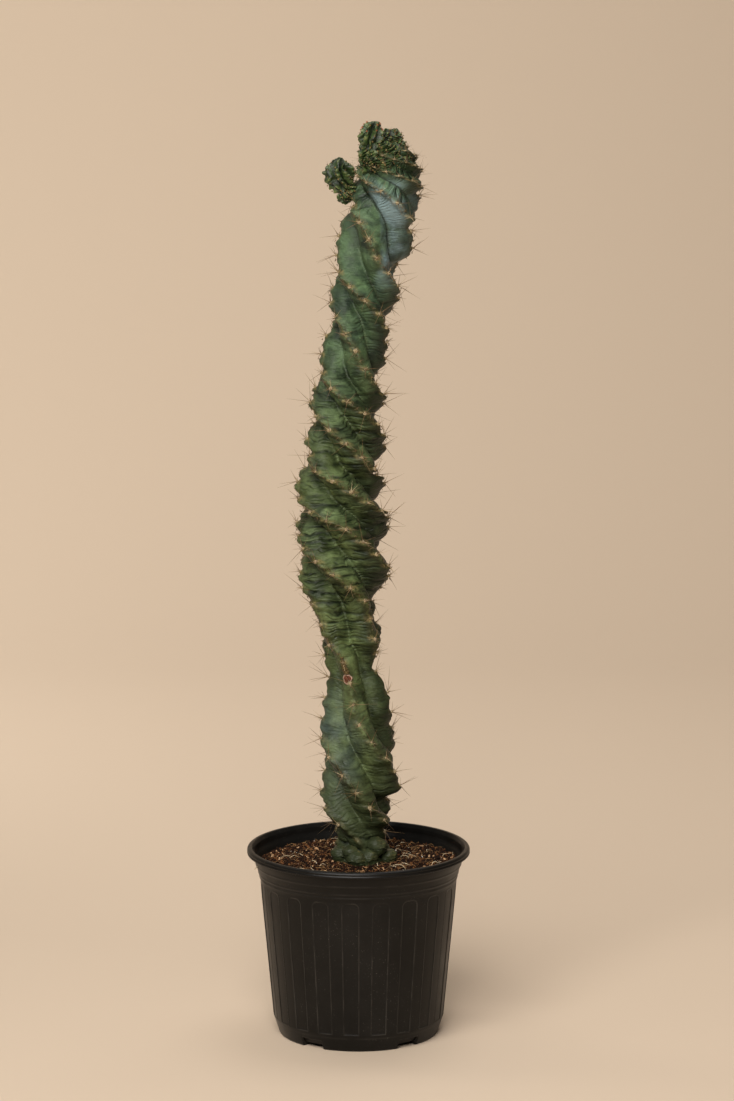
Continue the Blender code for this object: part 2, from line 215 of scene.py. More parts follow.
# Pot: (radius, height) corners of its outer wall from the foot up
POT_TURN = -4.6
SKIN = 2.2
FOOT_RADIUS = 91.2
FOOT_ROUND = 1.3
FOOT_ROWS = 18
FOOT_INNER_RADIUS = 61.0
FOOT_BAND = (96.3, 16.5)
WALL_LOW = (97.4, 20.0)
WALL_HIGH = (110.0, 153.0)
COLLAR_LOW = (112.1, 181.0)
COLLAR_MIDDLE = (116.0, 194.0)
COLLAR_HIGH = (120.4, 206.0)
WALL_CORNERS = (FOOT_BAND, WALL_LOW, WALL_HIGH, COLLAR_LOW, COLLAR_MIDDLE, COLLAR_HIGH)
FLOOR_THICKNESS = 2.5
ARCH_OF_FLOOR = 3.0
RIM_RADIUS = 127.0
RIM_TOP = 216.5
RIM_WIDTH = 6.0
RIM_SKIRT = 7.0
RIM_SKIN = 2.7
RIM_ROUND = 1.6
LIP_ROUND = 3.2
RIM_LINE_DEPTH = 0.7
RIM_LINE_DROPS = (3.8, 4.3, 4.9)
SKIRT_ROUND = 0.8
SKIRT_INNER_ROUND = 0.7
INNER_LEDGES = (203.0, 206.6, 210.2)
INNER_LEDGE_STEP = 0.1925
INNER_LEDGE_WIDTH = 0.6
PANELS = 20
PANEL_WIDTH = 19.0
PANEL_FOOT = 20.8
PANEL_TOP = 177.0
PANEL_CORNER = PANEL_WIDTH / 3
PANEL_DEPTH = 0.5
PANEL_RIDGE = 0.5
PANEL_EDGE = 1.8
COLLAR_BEADS = (197.5, 187.5)
COLLAR_LEDGE = 183.5
COLLAR_FADE = (178, 183)
BEAD_RISE = 0.55
BEAD_WIDTH = 0.9
LEDGE_RISE = 0.45
LEDGE_WIDTH = 0.7
NOTCHES = 5
NOTCH_FIRST = -30.0
NOTCH_WIDTH = 26.0
NOTCH_HEIGHT = 11.0
NOTCH_INNER_RADIUS = 80.0
NOTCH_SOFTNESS = 0.006
WEAR_WIDTH = 0.8
WEAR_ON_RIDGES = 0.45

# Soil: flat top round the column, falling a little to the wall
SOIL_TOP = 201.0
SOIL_SHOULDER_RADIUS = 94.0
SOIL_SHOULDER_DROP = 1.5
SOIL_EDGE_DROP = 2.5
SOIL_CLEARANCE = 0.4
SOIL_FLAT_RADIUS = 48.0
SOIL_SINK = 1.2
SOIL_ROUGH = 1.3
SOIL_LUMP = 14.0
SOIL_MOUND = 2.0
SOIL_MOUND_REACH = 40.0
SOIL_COLUMNS = 240
SOIL_ROWS = 90
PATCH_STEP = 3.0
STEM_FOOT = (4.0, 0.0)
STEM_FOOT_RADIUS = 24.0
FIBRE_RADIUS = 0.03
FIBRE_LIFT = 0.8

# Camera of the photograph
CAMERA_PLACE = (0.0097, -4.477, 1.3236)
CAMERA_TILT = 80.3
CAMERA_LENS = 131.8
CAMERA_SENSOR = 36.0

# Lights: name, place, aim, side of the square, watts and colour. A soft key stands on the left and a weak
# fill on the right, two more brighten the floor, and two washes the left of the wall
LIGHTS = (
    ("key", (-1.15, -3.25, 3.34), (0, 0, 0.45), 3.0, 243, (1.0, 0.98, 0.95)),
    ("fill", (1.8, -4.9, 2.0), (0, 0, 0.45), 3.0, 12, (1.0, 0.93, 0.86)),
    ("front", (0.0, -2.9, 1.9), (0.3, -1.5, 0.0), 1.0, 30, (1.0, 0.94, 0.92)),
    ("top", (0.6, 0.9, 4.2), (0.1, -0.4, 0.0), 2.0, 50, (1.0, 0.98, 0.97)),
    ("wash", (-2.0, 1.2, 1.3), (-0.4, 4.6, 1.2), 1.5, 32, (1.0, 0.98, 0.96)),
    ("high_wash", (-1.6, 1.0, 3.6), (-0.7, 4.6, 1.7), 2.0, 52, (1.0, 0.96, 0.9)),
)
WORLD_COLOUR = "#FFFAF4"
WORLD_STRENGTH = 0.09

NODE_FAMILIES = ("ShaderNode", "GeometryNode", "FunctionNode")
SIGNS = {
    "+": "Math ADD",
    "-": "Math SUBTRACT",
    "*": "Math MULTIPLY",
    "/": "Math DIVIDE",
    "*+": "Math MULTIPLY_ADD",
    "^": "Math POWER",
    "v+": "VectorMath ADD",
    "v-": "VectorMath SUBTRACT",
    "v*": "VectorMath SCALE",
}


def linear(code):
    """The linear colour of an sRGB hex code."""
    parts = [int(code[i : i + 2], 16) / 255 for i in (1, 3, 5)]
    return (*[c / 12.92 if c <= 0.04045 else ((c + 0.055) / 1.055) ** 2.4 for c in parts], 1.0)


def node(tree, kind, *inputs, take=0, **named):
    """Adds a node of a kind, with its operation, or of a sign, and gives the output to take, or all for None.

    Its inputs are filled or linked in their order, by the numbers of one dict, or by capitalised names, with
    spaces as underscores. Other names are its settings.
    """
    kind, _, operation = SIGNS.get(kind, kind).partition(" ")
    family = next(family for family in NODE_FAMILIES if hasattr(bpy.types, family + kind))
    made = tree.nodes.new(family + kind)
    if operation:
        made.operation = operation
    keyed = dict(inputs[0]) if inputs and isinstance(inputs[0], dict) else dict(enumerate(inputs))
    for name, value in named.items():
        if name[0].isupper():
            keyed[name.replace("_", " ")] = value
        else:
            setattr(made, name, value)
    for key, value in keyed.items():
        if isinstance(value, bpy.types.NodeSocket):
            tree.links.new(value, made.inputs[key])
        else:
            made.inputs[key].default_value = value
    return made.outputs if take is None else made.outputs[take]


def new_tree(name, **inputs):
    """A geometry tree with inputs named by kind, geometry first, what adds a node to it, and its inputs."""
    tree = bpy.data.node_groups.new(name, "GeometryNodeTree")
    for kind, labels in inputs.items():
        for label in labels:
            tree.interface.new_socket(name=label, in_out="INPUT", socket_type=f"NodeSocket{kind}")
    tree.interface.new_socket(name="Result", in_out="OUTPUT", socket_type="NodeSocketGeometry")
    return tree, partial(node, tree), tree.nodes.new("NodeGroupInput").outputs


def end_tree(tree, pieces, material):
    """Ends a tree with its pieces, realised, in one material."""
    pieces = node(tree, "RealizeInstances", pieces)
    pieces = node(tree, "SetMaterial", Geometry=pieces, Material=material)
    tree.links.new(pieces, tree.nodes.new("NodeGroupOutput").inputs[0])
    return tree


def guide(name, points, values):
    """An object of loose points, given in mm, that carries the values a tree reads."""
    mesh = bpy.data.meshes.new(name)
    mesh.vertices.add(len(points))
    mesh.vertices.foreach_set("co", (np.array(points, float) * MM).ravel())
    for label, held in values.items():
        held = np.asarray(held, np.float32)
        kind, field = ("FLOAT", "value") if held.ndim == 1 else ("FLOAT_VECTOR", "vector")
        mesh.attributes.new(label, kind, "POINT").data.foreach_set(field, held.ravel())
    mesh.update()
    return linked(name, mesh)


def linked(name, mesh):
    """An object of a mesh, a light or a camera, in the scene."""
    obj = bpy.data.objects.new(name, mesh)
    bpy.context.scene.collection.objects.link(obj)
    return obj


def grown(name, tree, start, values):
    """What a tree makes of an object, as a plain mesh object at the origin; the object itself is removed."""
    modifier = start.modifiers.new("Grow", "NODES")
    modifier.node_group = tree
    for item in tree.interface.items_tree:
        if item.in_out == "INPUT" and item.name in values:
            modifier[item.identifier] = values[item.name]
    graph = bpy.context.evaluated_depsgraph_get()
    mesh = bpy.data.meshes.new_from_object(start.evaluated_get(graph))
    bpy.data.objects.remove(start, do_unlink=True)
    mesh.name = name
    return linked(name, mesh)


def smooth_line(stations, column, heights, reach):
    """One column of the stations at each height, with its corners rounded over a reach in mm."""
    values = np.interp(heights, *np.transpose(stations)[[0, column]])
    steps = int(reach / HEIGHT_STEP)
    window = np.hanning(2 * steps + 3)[1:-1]
    padded = np.pad(values, steps, mode="reflect", reflect_type="odd")
    return np.convolve(padded, window / window.sum(), mode="valid")


def share_of(values, start, end):
    """How far values have come from a start to an end, from 0 to 1."""
    return np.clip((values - start) / (end - start), 0, 1)


def column_growth():
    """The rings of the column, in mm and radians, by the rule of its solid."""
    heights = np.arange(COLUMN_FOOT, COLUMN_TIP + HEIGHT_STEP, HEIGHT_STEP)
    lean = smooth_line(COLUMN_STATIONS, 1, heights, LEAN_REACH)
    dome = share_of(heights, DOME_START, COLUMN_TIP)
    radius = CREST_REACH * smooth_line(COLUMN_STATIONS, 2, heights, LEAN_REACH) * np.sqrt(1 - dome**2)
    twist = smooth_line(TWIST_STATIONS, 1, heights, TWIST_REACH)
    tip = share_of(heights, *TIP_GROWTH)
    spacing = TOOTH_SPACING + tip * (TIP_TOOTH_SPACING - TOOTH_SPACING)
    round_it = radius * np.radians(np.gradient(twist))
    along = np.hypot(np.gradient(heights), round_it)
    count = np.cumsum(along / spacing)
    fan = share_of(heights, *FAN_GROWTH)
    fold_spacing = FOLD_SPACING + tip * (TIP_FOLD_SPACING - FOLD_SPACING)
    fold_step = (1 - fan) * HEIGHT_STEP + fan * along
    groove = NECK_GROOVE_DEPTH + share_of(heights, *NECK) * (GROOVE_DEPTH - NECK_GROOVE_DEPTH)
    rings = np.linspace(count[0], count[-1], COLUMN_RINGS)
    lines = {
        "lean": lean,
        "height": heights,
        "reach": radius,
        "turn": twist,
        "tooth": TOOTH_HEIGHT + tip * (TIP_TOOTH_HEIGHT - TOOTH_HEIGHT),
        "size": 1 - TIP_PAD_LOSS * tip,
        "folds": np.cumsum(fold_step / fold_spacing),
        "skew": fan * math.pi / RIBS * radius * round_it / along / fold_spacing,
        "groove": groove + fan * (TIP_GROOVE_DEPTH - GROOVE_DEPTH),
        "relief": np.interp(heights, *np.transpose(FOLD_RELIEF)),
    }
    growth = {key: np.interp(rings, count, line) for key, line in lines.items()}
    growth["turn"] = np.radians(growth["turn"])
    growth["centre"] = np.stack([growth["lean"], 0 * rings, growth["height"]], 1)
    growth["side"] = np.tile((1.0, 0.0, 0.0), (COLUMN_RINGS, 1))
    growth["front"] = np.tile((0.0, -1.0, 0.0), (COLUMN_RINGS, 1))
    rule = {"bead": BEAD_HEIGHT, "fullness": RIB_FULLNESS, "ribs": RIBS, "spread": TOOTH_SPREAD}
    return {**growth, "count": rings, **rule}


def head_growth(axis, radii, ribs, turn, teeth, rings=HEAD_RINGS):
    """The rings of a young head along its bent axis, square to it and rounded at the tip."""
    foot, bend, tip = (Vector(point) for point in axis)
    along = 0.5 - 0.5 * np.cos(np.linspace(0, math.pi, rings))
    facings = [(bend - foot).lerp(tip - bend, t).to_track_quat("Z", "Y") for t in along]
    past = share_of(along, HEAD_ROUNDING, 1)
    return {
        "centre": np.array([foot.lerp(bend, t).lerp(bend.lerp(tip, t), t) for t in along]),
        "side": np.array([facing @ Vector((1, 0, 0)) for facing in facings]),
        "front": np.array([facing @ Vector((0, -1, 0)) for facing in facings]),
        "reach": np.interp(along, np.linspace(0, 1, len(radii)), radii) * np.sqrt(1 - past**2),
        "turn": np.radians(turn * along),
        "count": along * teeth,
        "tooth": np.full(rings, HEAD_TOOTH_HEIGHT),
        "size": np.full(rings, HEAD_PAD_SIZE),
        "folds": along * teeth,
        "skew": np.zeros(rings),
        "groove": np.full(rings, HEAD_GROOVE_DEPTH),
        "relief": np.ones(rings),
        "bead": 0.0,
        "fullness": HEAD_FULLNESS,
        "ribs": ribs,
        "spread": HEAD_TOOTH_SPREAD,
    }


def settled(points):
    """Points in mm on the column, pushed by its uneven growth."""
    points = np.atleast_2d(np.asarray(points, float))
    lean = np.interp(points[:, 2], *np.transpose(COLUMN_STATIONS)[:2])
    away = np.stack([points[:, 0] - lean, points[:, 1]], 1)
    angles = np.degrees(np.arctan2(away[:, 0], -away[:, 1]))
    outwards = away / np.maximum(np.linalg.norm(away, axis=1, keepdims=True), 1e-6)
    moved = points.copy()
    pushes = list(UNEVEN_GROWTH)
    for angle, rows in SIDE_GROWTH.items():
        pushes += [(height, angle, tall, SIDE_REACH, out, 0) for height, tall, out in rows]
    for height, angle, tall, wide, out, up in pushes:
        turn = (angles - angle + 180) % 360 - 180
        share = np.exp(-(((points[:, 2] - height) / tall) ** 2) - (turn / wide) ** 2)
        moved[:, :2] += outwards * (out * share)[:, None]
        moved[:, 2] += up * share
    return moved


def vertices_of(mesh):
    """The places of a mesh's vertices, in mm."""
    places = np.empty(len(mesh.vertices) * 3)
    mesh.vertices.foreach_get("co", places)
    return places.reshape(-1, 3) / MM


def settle_piece(piece):
    """Pushes a piece on the column by its uneven growth."""
    moved = settled(vertices_of(piece.data)) * MM
    piece.data.vertices.foreach_set("co", moved.ravel())
    piece.data.update()


def knob_growth(x, y, z, radius, ribs, turn):
    """The rings of a small round growth, as of a head, round its centre."""
    axis = ((x, y, z - radius), (x + 0.5, y - 0.5, z), (x, y, z + radius))
    radii = (0.2 * radius, 0.75 * radius, radius, radius, 0.9 * radius)
    return head_growth(axis, radii, ribs, turn, max(4, round(radius / 1.5)), KNOB_RINGS)


def growth_guide(name, growth):
    """A guide of the rings, opened and closed by a ring of no reach."""
    held = {}
    for key in ("centre", "side", "front", *RING_VALUES):
        held[key] = np.concatenate([growth[key][:1], growth[key], growth[key][-1:]])
    return guide(name, held.pop("centre"), {**held, "reach": np.pad(growth["reach"], 1) * MM})


def tooth_at(phase):
    """Height of a tooth from 0 to 1 along its phase, long below and steep above."""
    return np.sin(np.pi * phase**TOOTH_LEAN)


def at_count(growth, count, key):
    """What the rings hold at a count of teeth."""
    found = [np.interp(count, growth["count"], column) for column in np.atleast_2d(growth[key].T)]
    return np.array(found) if len(found) > 1 else found[0]


def on_surface(growth, count, rib, across):
    """A point of the growth's skin at a count of teeth, on a rib, between its grooves at -1 and 1."""
    keys = ("centre", "side", "front", "reach", "turn", "tooth", "groove")
    centre, side, front, reach, turn, tooth, groove = (at_count(growth, count, key) for key in keys)
    tall = tooth_at((count + (2 * rib % 3) / 3) % 1.0)
    swell = 1 + tooth * tall * max(0.0, 1 - abs(across) / growth["spread"])
    bead = growth["bead"] * math.exp(-((across / BEAD_SPREAD) ** 2)) * (BEAD_PINCH + (1 - BEAD_PINCH) * tall)
    reach = reach * swell * (1 - groove * abs(across) ** growth["fullness"]) + bead
    angle = turn + (rib + across / 2) * math.tau / growth["ribs"]
    return centre + (side * math.sin(angle) + front * math.cos(angle)) * reach


def hand_over(piece, solid=None):
    """Puts a piece on the only body, and in place of a solid if it stands for one."""
    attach(piece, "root")
    if solid:
        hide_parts(solid)


def add_piece(mesh, material, solid=None):
    """A mesh of one material as a piece of its name."""
    mesh.materials.append(material)
    hand_over(linked(mesh.name, mesh), solid)


def settled_spots(spots):
    """Spots of the column, pushed by its uneven growth."""
    moved = settled([spot[0] for spot in spots])
    return [(place, *spot[1:]) for place, spot in zip(moved, spots)]


def crest_spots(growth, phase=PAD_PHASE, lowest=0.0):
    """Place, facing, direction along the crest and size of each felt pad."""
    spots = []
    low, high = growth["count"][0] + FIRST_PAD, growth["count"][-1] - LAST_PAD
    for rib in range(growth["ribs"]):
        first = (phase - (2 * rib % 3) / 3) % 1.0
        for count in np.arange(math.floor(low) + first, high, 1.0):
            place = on_surface(growth, count, rib, 0.0)
            if count < low or place[2] < lowest:
                continue
            up = on_surface(growth, count + 0.3, rib, 0.0) - on_surface(growth, count - 0.3, rib, 0.0)
            round_it = on_surface(growth, count, rib, 0.15) - on_surface(growth, count, rib, -0.15)
            facing = Vector(np.cross(round_it, up)).normalized()
            spots.append((place, facing, Vector(up).normalized(), at_count(growth, count, "size")))
    return spots


def spots_guide(name, spots):
    """A guide of the spots on which pads or spines stand."""
    places, facings, along, sizes = zip(*spots)
    return guide(name, places, {"size": sizes, "facing": facings, "along": along})


def growth_tree():
    """A ribbed, toothed and folded body through the rings of a guide."""
    floats = ("Fullness", "Tooth spread", "Bead height", "Fold height", "Knob roughness", "Warp", "Seed")
    whole = ("Ribs", "Steps per rib")
    tree, add, start = new_tree(
        "Ribbed growth", Geometry=["Guide"], Int=whole, Float=floats, Material=["Skin"]
    )
    rings = add("AttributeDomainSize", start["Guide"], take="Point Count", component="MESH")
    columns = add("*+", start["Ribs"], start["Steps per rib"], 1.0)
    grid = add("MeshGrid", Vertices_X=rings, Vertices_Y=columns)

    # Row, rib and place between its grooves at -1 and 1, closest together along the crest
    index = add("InputIndex")
    row = add("Math FLOOR", add("/", index, columns))
    step = add("-", index, add("*", row, columns))
    share = add("/", step, start["Steps per rib"])
    rib = add("Math FLOOR", share)
    even = add("*+", add("Math FRACT", share), 2.0, -1.0)
    away = add("^", add("Math ABSOLUTE", even), CREST_CROWDING)
    across = add("*", away, add("Math SIGN", even))
    inward = add("-", 1.0, away)
    flank = add("*", across, inward)

    ring = {}
    for label in ("reach", *RING_VALUES, "side", "front", "centre"):
        kind = "FLOAT_VECTOR" if label in ("side", "front", "centre") else "FLOAT"
        if label == "centre":
            held = add("InputPosition")
        else:
            held = add("InputNamedAttribute", label, data_type=kind)
        ring[label] = add("SampleIndex", start["Guide"], Value=held, Index=row, data_type=kind)

    # Teeth, shifted from rib to rib
    same_rib = add("Math FLOORED_MODULO", rib, start["Ribs"])
    thirds = add("Math FLOORED_MODULO", add("*", same_rib, 2.0), 3.0)
    shifted = add("*+", thirds, 1 / 3, ring["count"])
    leaned = add("^", add("Math FRACT", shifted), TOOTH_LEAN)
    tooth = add("Math SINE", add("*", leaned, math.pi))
    spread = add("/", away, start["Tooth spread"])
    knob = add("*", tooth, add("-", 1.0, spread, use_clamp=True))
    swell = add("*+", knob, ring["tooth"], 1.0)
    past_pad = add("+", shifted, -PAD_PHASE)
    areole = add("Math COSINE", add("*", past_pad, math.tau))

    # Section of the ribs, with the bottom of the groove rounded
    inward_squared = add("*", inward, inward)
    both = add("+", inward_squared, GROOVE_ROUNDING**2)
    eased = add("-", 1.0, add("Math SQRT", both), use_clamp=True)
    cut = add("*", add("^", eased, start["Fullness"]), ring["groove"])
    swollen = add("*", swell, add("-", 1.0, cut))
    ribbed = add("*", ring["reach"], swollen)
    small = add("*", ring["reach"], 60.0, use_clamp=True)

    # Bead along the crest, thick on the teeth and pinched at the areoles
    bead_share = add("/", away, BEAD_SPREAD)
    bead_square = add("*", bead_share, bead_share)
    bead = add("Math EXPONENT", add("*", bead_square, -1.0))
    bulge = {"Vector": add("CombineXYZ", rib, shifted), "Scale": 2.6, "Detail": 1.0}
    bulge = add("MapRange", add("TexNoise", bulge), 0.3, 0.7, 0.3, 1.5)
    for share in (add("*+", tooth, 1 - BEAD_PINCH, BEAD_PINCH), small, bulge):
        bead = add("*", bead, share)
    beaded = add("*+", bead, start["Bead height"], ribbed)

    # Direction of each point from its ring's centre
    turn_share = add("*+", across, 0.5, rib)
    rib_angle = add("/", math.tau, start["Ribs"])
    angle = add("*+", turn_share, rib_angle, ring["turn"])
    sine = add("Math SINE", angle)
    sideways = add("v*", ring["side"], Scale=sine)
    forwards = add("v*", ring["front"], Scale=add("Math COSINE", angle))
    outwards = add("v+", sideways, forwards)
    offset = add("v*", outwards, Scale=beaded)
    plain = add("v+", ring["centre"], offset)

    # Folds across the flanks: plump, parted by narrow creases that wander and fade out here and there
    wander = {"Vector": plain, "Scale": 26.0, "Detail": 2.5, "W": start["Seed"]}
    wander = add("-", add("TexNoise", wander, noise_dimensions="4D"), 0.5)
    fanned = add("*+", across, ring["skew"], ring["folds"])
    folds = add("*+", wander, FOLD_WANDER, fanned)
    wave = add("Math ABSOLUTE", add("Math SINE", add("*", folds, math.pi)))
    gap = add("-", 1.0, add("^", wave, CREASE_WIDTH))
    deeper = add("+", start["Seed"], 9.0)
    fading = {"Vector": plain, "Scale": 30.0, "Detail": 1.0, "W": deeper}
    fading = add("MapRange", add("TexNoise", fading, noise_dimensions="4D"), 0.38, 0.6, 0.1, 1.25)
    slanting = add("*", ring["skew"], 1.0, use_clamp=True)
    fall = add("*", add("^", away, 5.0), slanting)
    below = add("MapRange", across, 0.05, -0.1, 0.0, 0.9)
    level = add("MapRange", add("SeparateXYZ", plain, take="Z"), *SMOOTH_ABOVE)
    ruffled = add("-", 1.0, add("*", below, level))
    strength = add("*", away, 4.5, use_clamp=True)
    for share in (add("-", 1.0, fall), ruffled, fading, ring["relief"]):
        strength = add("*", strength, share)
    crease = add("*", strength, gap)
    relief = add("-", add("*", strength, FOLD_PUFF), crease)
    height = add("*", small, start["Fold height"])
    full = add("*+", relief, height, beaded)

    # Uneven knobs
    lumps = add("TexNoise", Vector=plain, Scale=220.0, Detail=2.0)
    lumps = add("-", lumps, 0.5)
    rough = add("*", start["Knob roughness"], small)
    full = add("*+", lumps, rough, full)
    offset = add("v*", outwards, Scale=full)
    position = add("v+", ring["centre"], offset)
    warped = {"Vector": position, "Scale": 80.0, "Detail": 2.0, "W": start["Seed"]}
    warped = add("TexNoise", warped, take="Color", noise_dimensions="4D")
    warped = add("v-", warped, (0.5, 0.5, 0.5))
    warped = add("v*", warped, Scale=start["Warp"])
    position = add("v+", position, warped)

    body = add("SetPosition", Geometry=grid, Position=position)
    kept = {"across": away, "flank": flank, "crease": crease, "folds": folds, "areole": areole, "knob": knob}
    for label, value in {**kept, "relief": ring["relief"], "eastward": sine}.items():
        stored = {"Geometry": body, "Name": label, "Value": value}
        body = add("StoreNamedAttribute", stored, data_type="FLOAT", domain="POINT")
    body = add("MergeByDistance", Geometry=body, Distance=0.01 * MM)
    return end_tree(tree, add("SetShadeSmooth", add("FlipFaces", body)), start["Skin"])


def pads_tree():
    """A small domed felt pad on each spot."""
    floats = ("Radius", "Height")
    tree, add, start = new_tree("Felt pads", Geometry=["Spots"], Float=floats, Material=["Felt"])
    ball = add("MeshIcoSphere", Radius=1.0, Subdivisions=2)
    facing = add("InputNamedAttribute", "facing", data_type="FLOAT_VECTOR")
    size = add("InputNamedAttribute", "size", data_type="FLOAT")
    turned = add("AlignRotationToVector", Vector=facing, axis="Z")
    shape = add("CombineXYZ", start["Radius"], start["Radius"], start["Height"])
    uneven = add("RandomValue", {2: 0.7, 3: 1.3}, Seed=SEED, take=1, data_type="FLOAT")
    scale = add("v*", shape, Scale=add("*", size, uneven))
    placed = {"Points": start["Spots"], "Instance": ball, "Rotation": turned, "Scale": scale}
    pads = add("RealizeInstances", add("InstanceOnPoints", placed))
    tufts = {"Vector": add("InputPosition"), "Scale": 900.0, "Detail": 1.0}
    tufts = add("v-", add("TexNoise", tufts, take="Color"), (0.5, 0.5, 0.5))
    rough = add("v*", tufts, Scale=2.2 * MM)
    pads = add("SetPosition", Geometry=pads, Offset=rough)
    return end_tree(tree, add("SetShadeSmooth", pads), start["Felt"])


def spines_tree():
    """A cluster of slightly bent, tapering spines on each spot."""
    floats = ("Shortest", "Longest", "Thickness", "Least tilt", "Most tilt")
    whole = ("Spines per spot", "Seed")
    tree, add, start = new_tree("Spines", Geometry=["Spots"], Int=whole, Float=floats, Material=["Horn"])
    bend = {"Resolution": 4, "Start": (0, 0, 0), "Middle": (0.07, 0, 0.5), "End": (0, 0, 1)}
    line = add("CurveQuadraticBezier", bend)
    taper = add("*+", add("SplineParameter"), -0.85, 1.0)
    ring = add("CurvePrimitiveCircle", Resolution=4, Radius=1.0, mode="RADIUS")
    swept = {"Curve": line, "Profile Curve": ring, "Scale": taper, "Fill Caps": True}
    spine = add("CurveToMesh", swept)

    copied = {"Geometry": start["Spots"], "Amount": start["Spines per spot"]}
    copies = add("DuplicateElements", copied, take=None, domain="POINT")
    facing = add("InputNamedAttribute", "facing", data_type="FLOAT_VECTOR")
    along = add("InputNamedAttribute", "along", data_type="FLOAT_VECTOR")
    size = add("InputNamedAttribute", "size", data_type="FLOAT")
    beside = add("VectorMath CROSS_PRODUCT", facing, along)
    step = add("/", math.tau, start["Spines per spot"])
    jitter = add("RandomValue", {2: -0.5, 3: 0.5}, Seed=start["Seed"], take=1, data_type="FLOAT")
    heading = add("*", add("+", copies["Duplicate Index"], jitter), step)
    tilted = {2: start["Least tilt"], 3: start["Most tilt"], "Seed": add("+", start["Seed"], 11.0)}
    tilt = add("RandomValue", tilted, take=1, data_type="FLOAT")
    chance = {2: 0.0, 3: 1.0, "Seed": add("+", start["Seed"], 23.0)}
    rare = add("^", add("RandomValue", chance, take=1, data_type="FLOAT"), 1.8)
    longer = add("-", start["Longest"], start["Shortest"])
    length = add("*+", rare, longer, start["Shortest"])
    up_part = add("v*", along, Scale=add("Math COSINE", heading))
    side_part = add("v*", beside, Scale=add("Math SINE", heading))
    flat = add("v+", up_part, side_part)
    flat = add("v*", flat, Scale=add("Math SINE", tilt))
    out = add("v*", facing, Scale=add("Math COSINE", tilt))
    turned = add("AlignRotationToVector", Vector=add("v+", flat, out), axis="Z")
    thick, long = (add("*", measure, size) for measure in (start["Thickness"], length))
    scale = add("CombineXYZ", thick, thick, long)
    placed = {"Points": copies["Geometry"], "Instance": spine, "Rotation": turned, "Scale": scale}
    return end_tree(tree, add("SetShadeSmooth", add("InstanceOnPoints", placed)), start["Horn"])


def bits_tree(name, floats, shape):
    """Turned and uneven copies of a shape scattered over the ground.

    The shape gives what is copied, its least and most turns and its scale.
    """
    floats = ("Per square metre", "Lift", *floats)
    tree, add, start = new_tree(name, Geometry=["Ground"], Float=floats, Int=["Seed"], Material=["Stuff"])
    scattered = {"Mesh": start["Ground"], "Density": start["Per square metre"], "Seed": start["Seed"]}
    points = add("DistributePointsOnFaces", scattered)
    second_seed = add("+", start["Seed"], 5.0)
    bit, least, most, scale = shape(add, start, second_seed)
    euler = add("RandomValue", least, most, Seed=start["Seed"], data_type="FLOAT_VECTOR")
    rotation = add("EulerToRotation", euler)
    placed = {"Points": points, "Instance": bit, "Rotation": rotation, "Scale": scale}
    bits = add("RealizeInstances", add("InstanceOnPoints", placed))
    bits = add("SetPosition", Geometry=bits, Offset=add("CombineXYZ", {2: start["Lift"]}))
    return end_tree(tree, bits, start["Stuff"])


def crumb_shape(add, start, second_seed):
    """An angular crumb, turned any way, mostly small."""
    ball = add("MeshIcoSphere", Radius=1.0, Subdivisions=1)
    chance = add("RandomValue", {2: 0.0, 3: 1.0}, Seed=second_seed, take=1, data_type="FLOAT")
    larger = add("-", start["Largest"], start["Smallest"])
    size = add("*+", add("^", chance, 2.2), larger, start["Smallest"])
    odd = {0: (0.5, 0.5, 0.3), 1: (1.4, 0.9, 0.8), "Seed": start["Seed"]}
    squash = add("CombineXYZ", 1.0, 1.0, start["Flatness"])
    odd = add("VectorMath MULTIPLY", add("RandomValue", odd, data_type="FLOAT_VECTOR"), squash)
    return ball, (0, 0, 0), (math.tau,) * 3, add("v*", odd, Scale=size)


def fibre_shape(add, start, second_seed):
    """A bent fibre that lies nearly flat, thickest in its middle."""
    bend = {"Resolution": 5, "Start": (-0.5, 0, 0), "Middle": (0.0, 0.45, 0.35), "End": (0.5, 0, 0)}
    middle = add("*+", add("SplineParameter"), -1.0, 1.2)
    ring = add("CurvePrimitiveCircle", Resolution=3, Radius=FIBRE_RADIUS, mode="RADIUS")
    line = add("CurveQuadraticBezier", bend)
    swept = {"Curve": line, "Profile Curve": ring, "Scale": middle, "Fill Caps": True}
    picked = {2: start["Smallest"], 3: start["Largest"], "Seed": second_seed}
    length = add("RandomValue", picked, take=1, data_type="FLOAT")
    thick = add("*", start["Thickness"], 1 / FIBRE_RADIUS)
    scale = add("CombineXYZ", length, length, thick)
    return add("CurveToMesh", swept), (-0.35, -0.35, 0), (0.35, 0.35, math.tau), scale


def new_material(name, **settings):
    """A material with the plain settings of its shader, and what adds a node to it."""
    made = bpy.data.materials.new(name)
    made.use_nodes = True
    for label, value in settings.items():
        made.node_tree.nodes["Principled BSDF"].inputs[label.replace("_", " ")].default_value = value
    return made, partial(node, made.node_tree)


def feed(material, colour, roughness=None, normal=None):
    """Links what was made of a material's nodes to its shader; gives the material."""
    tree = material.node_tree
    shader = tree.nodes["Principled BSDF"].inputs
    for label, value in (("Base Color", colour), ("Roughness", roughness), ("Normal", normal)):
        if value is not None:
            tree.links.new(value, shader[label])
    return material


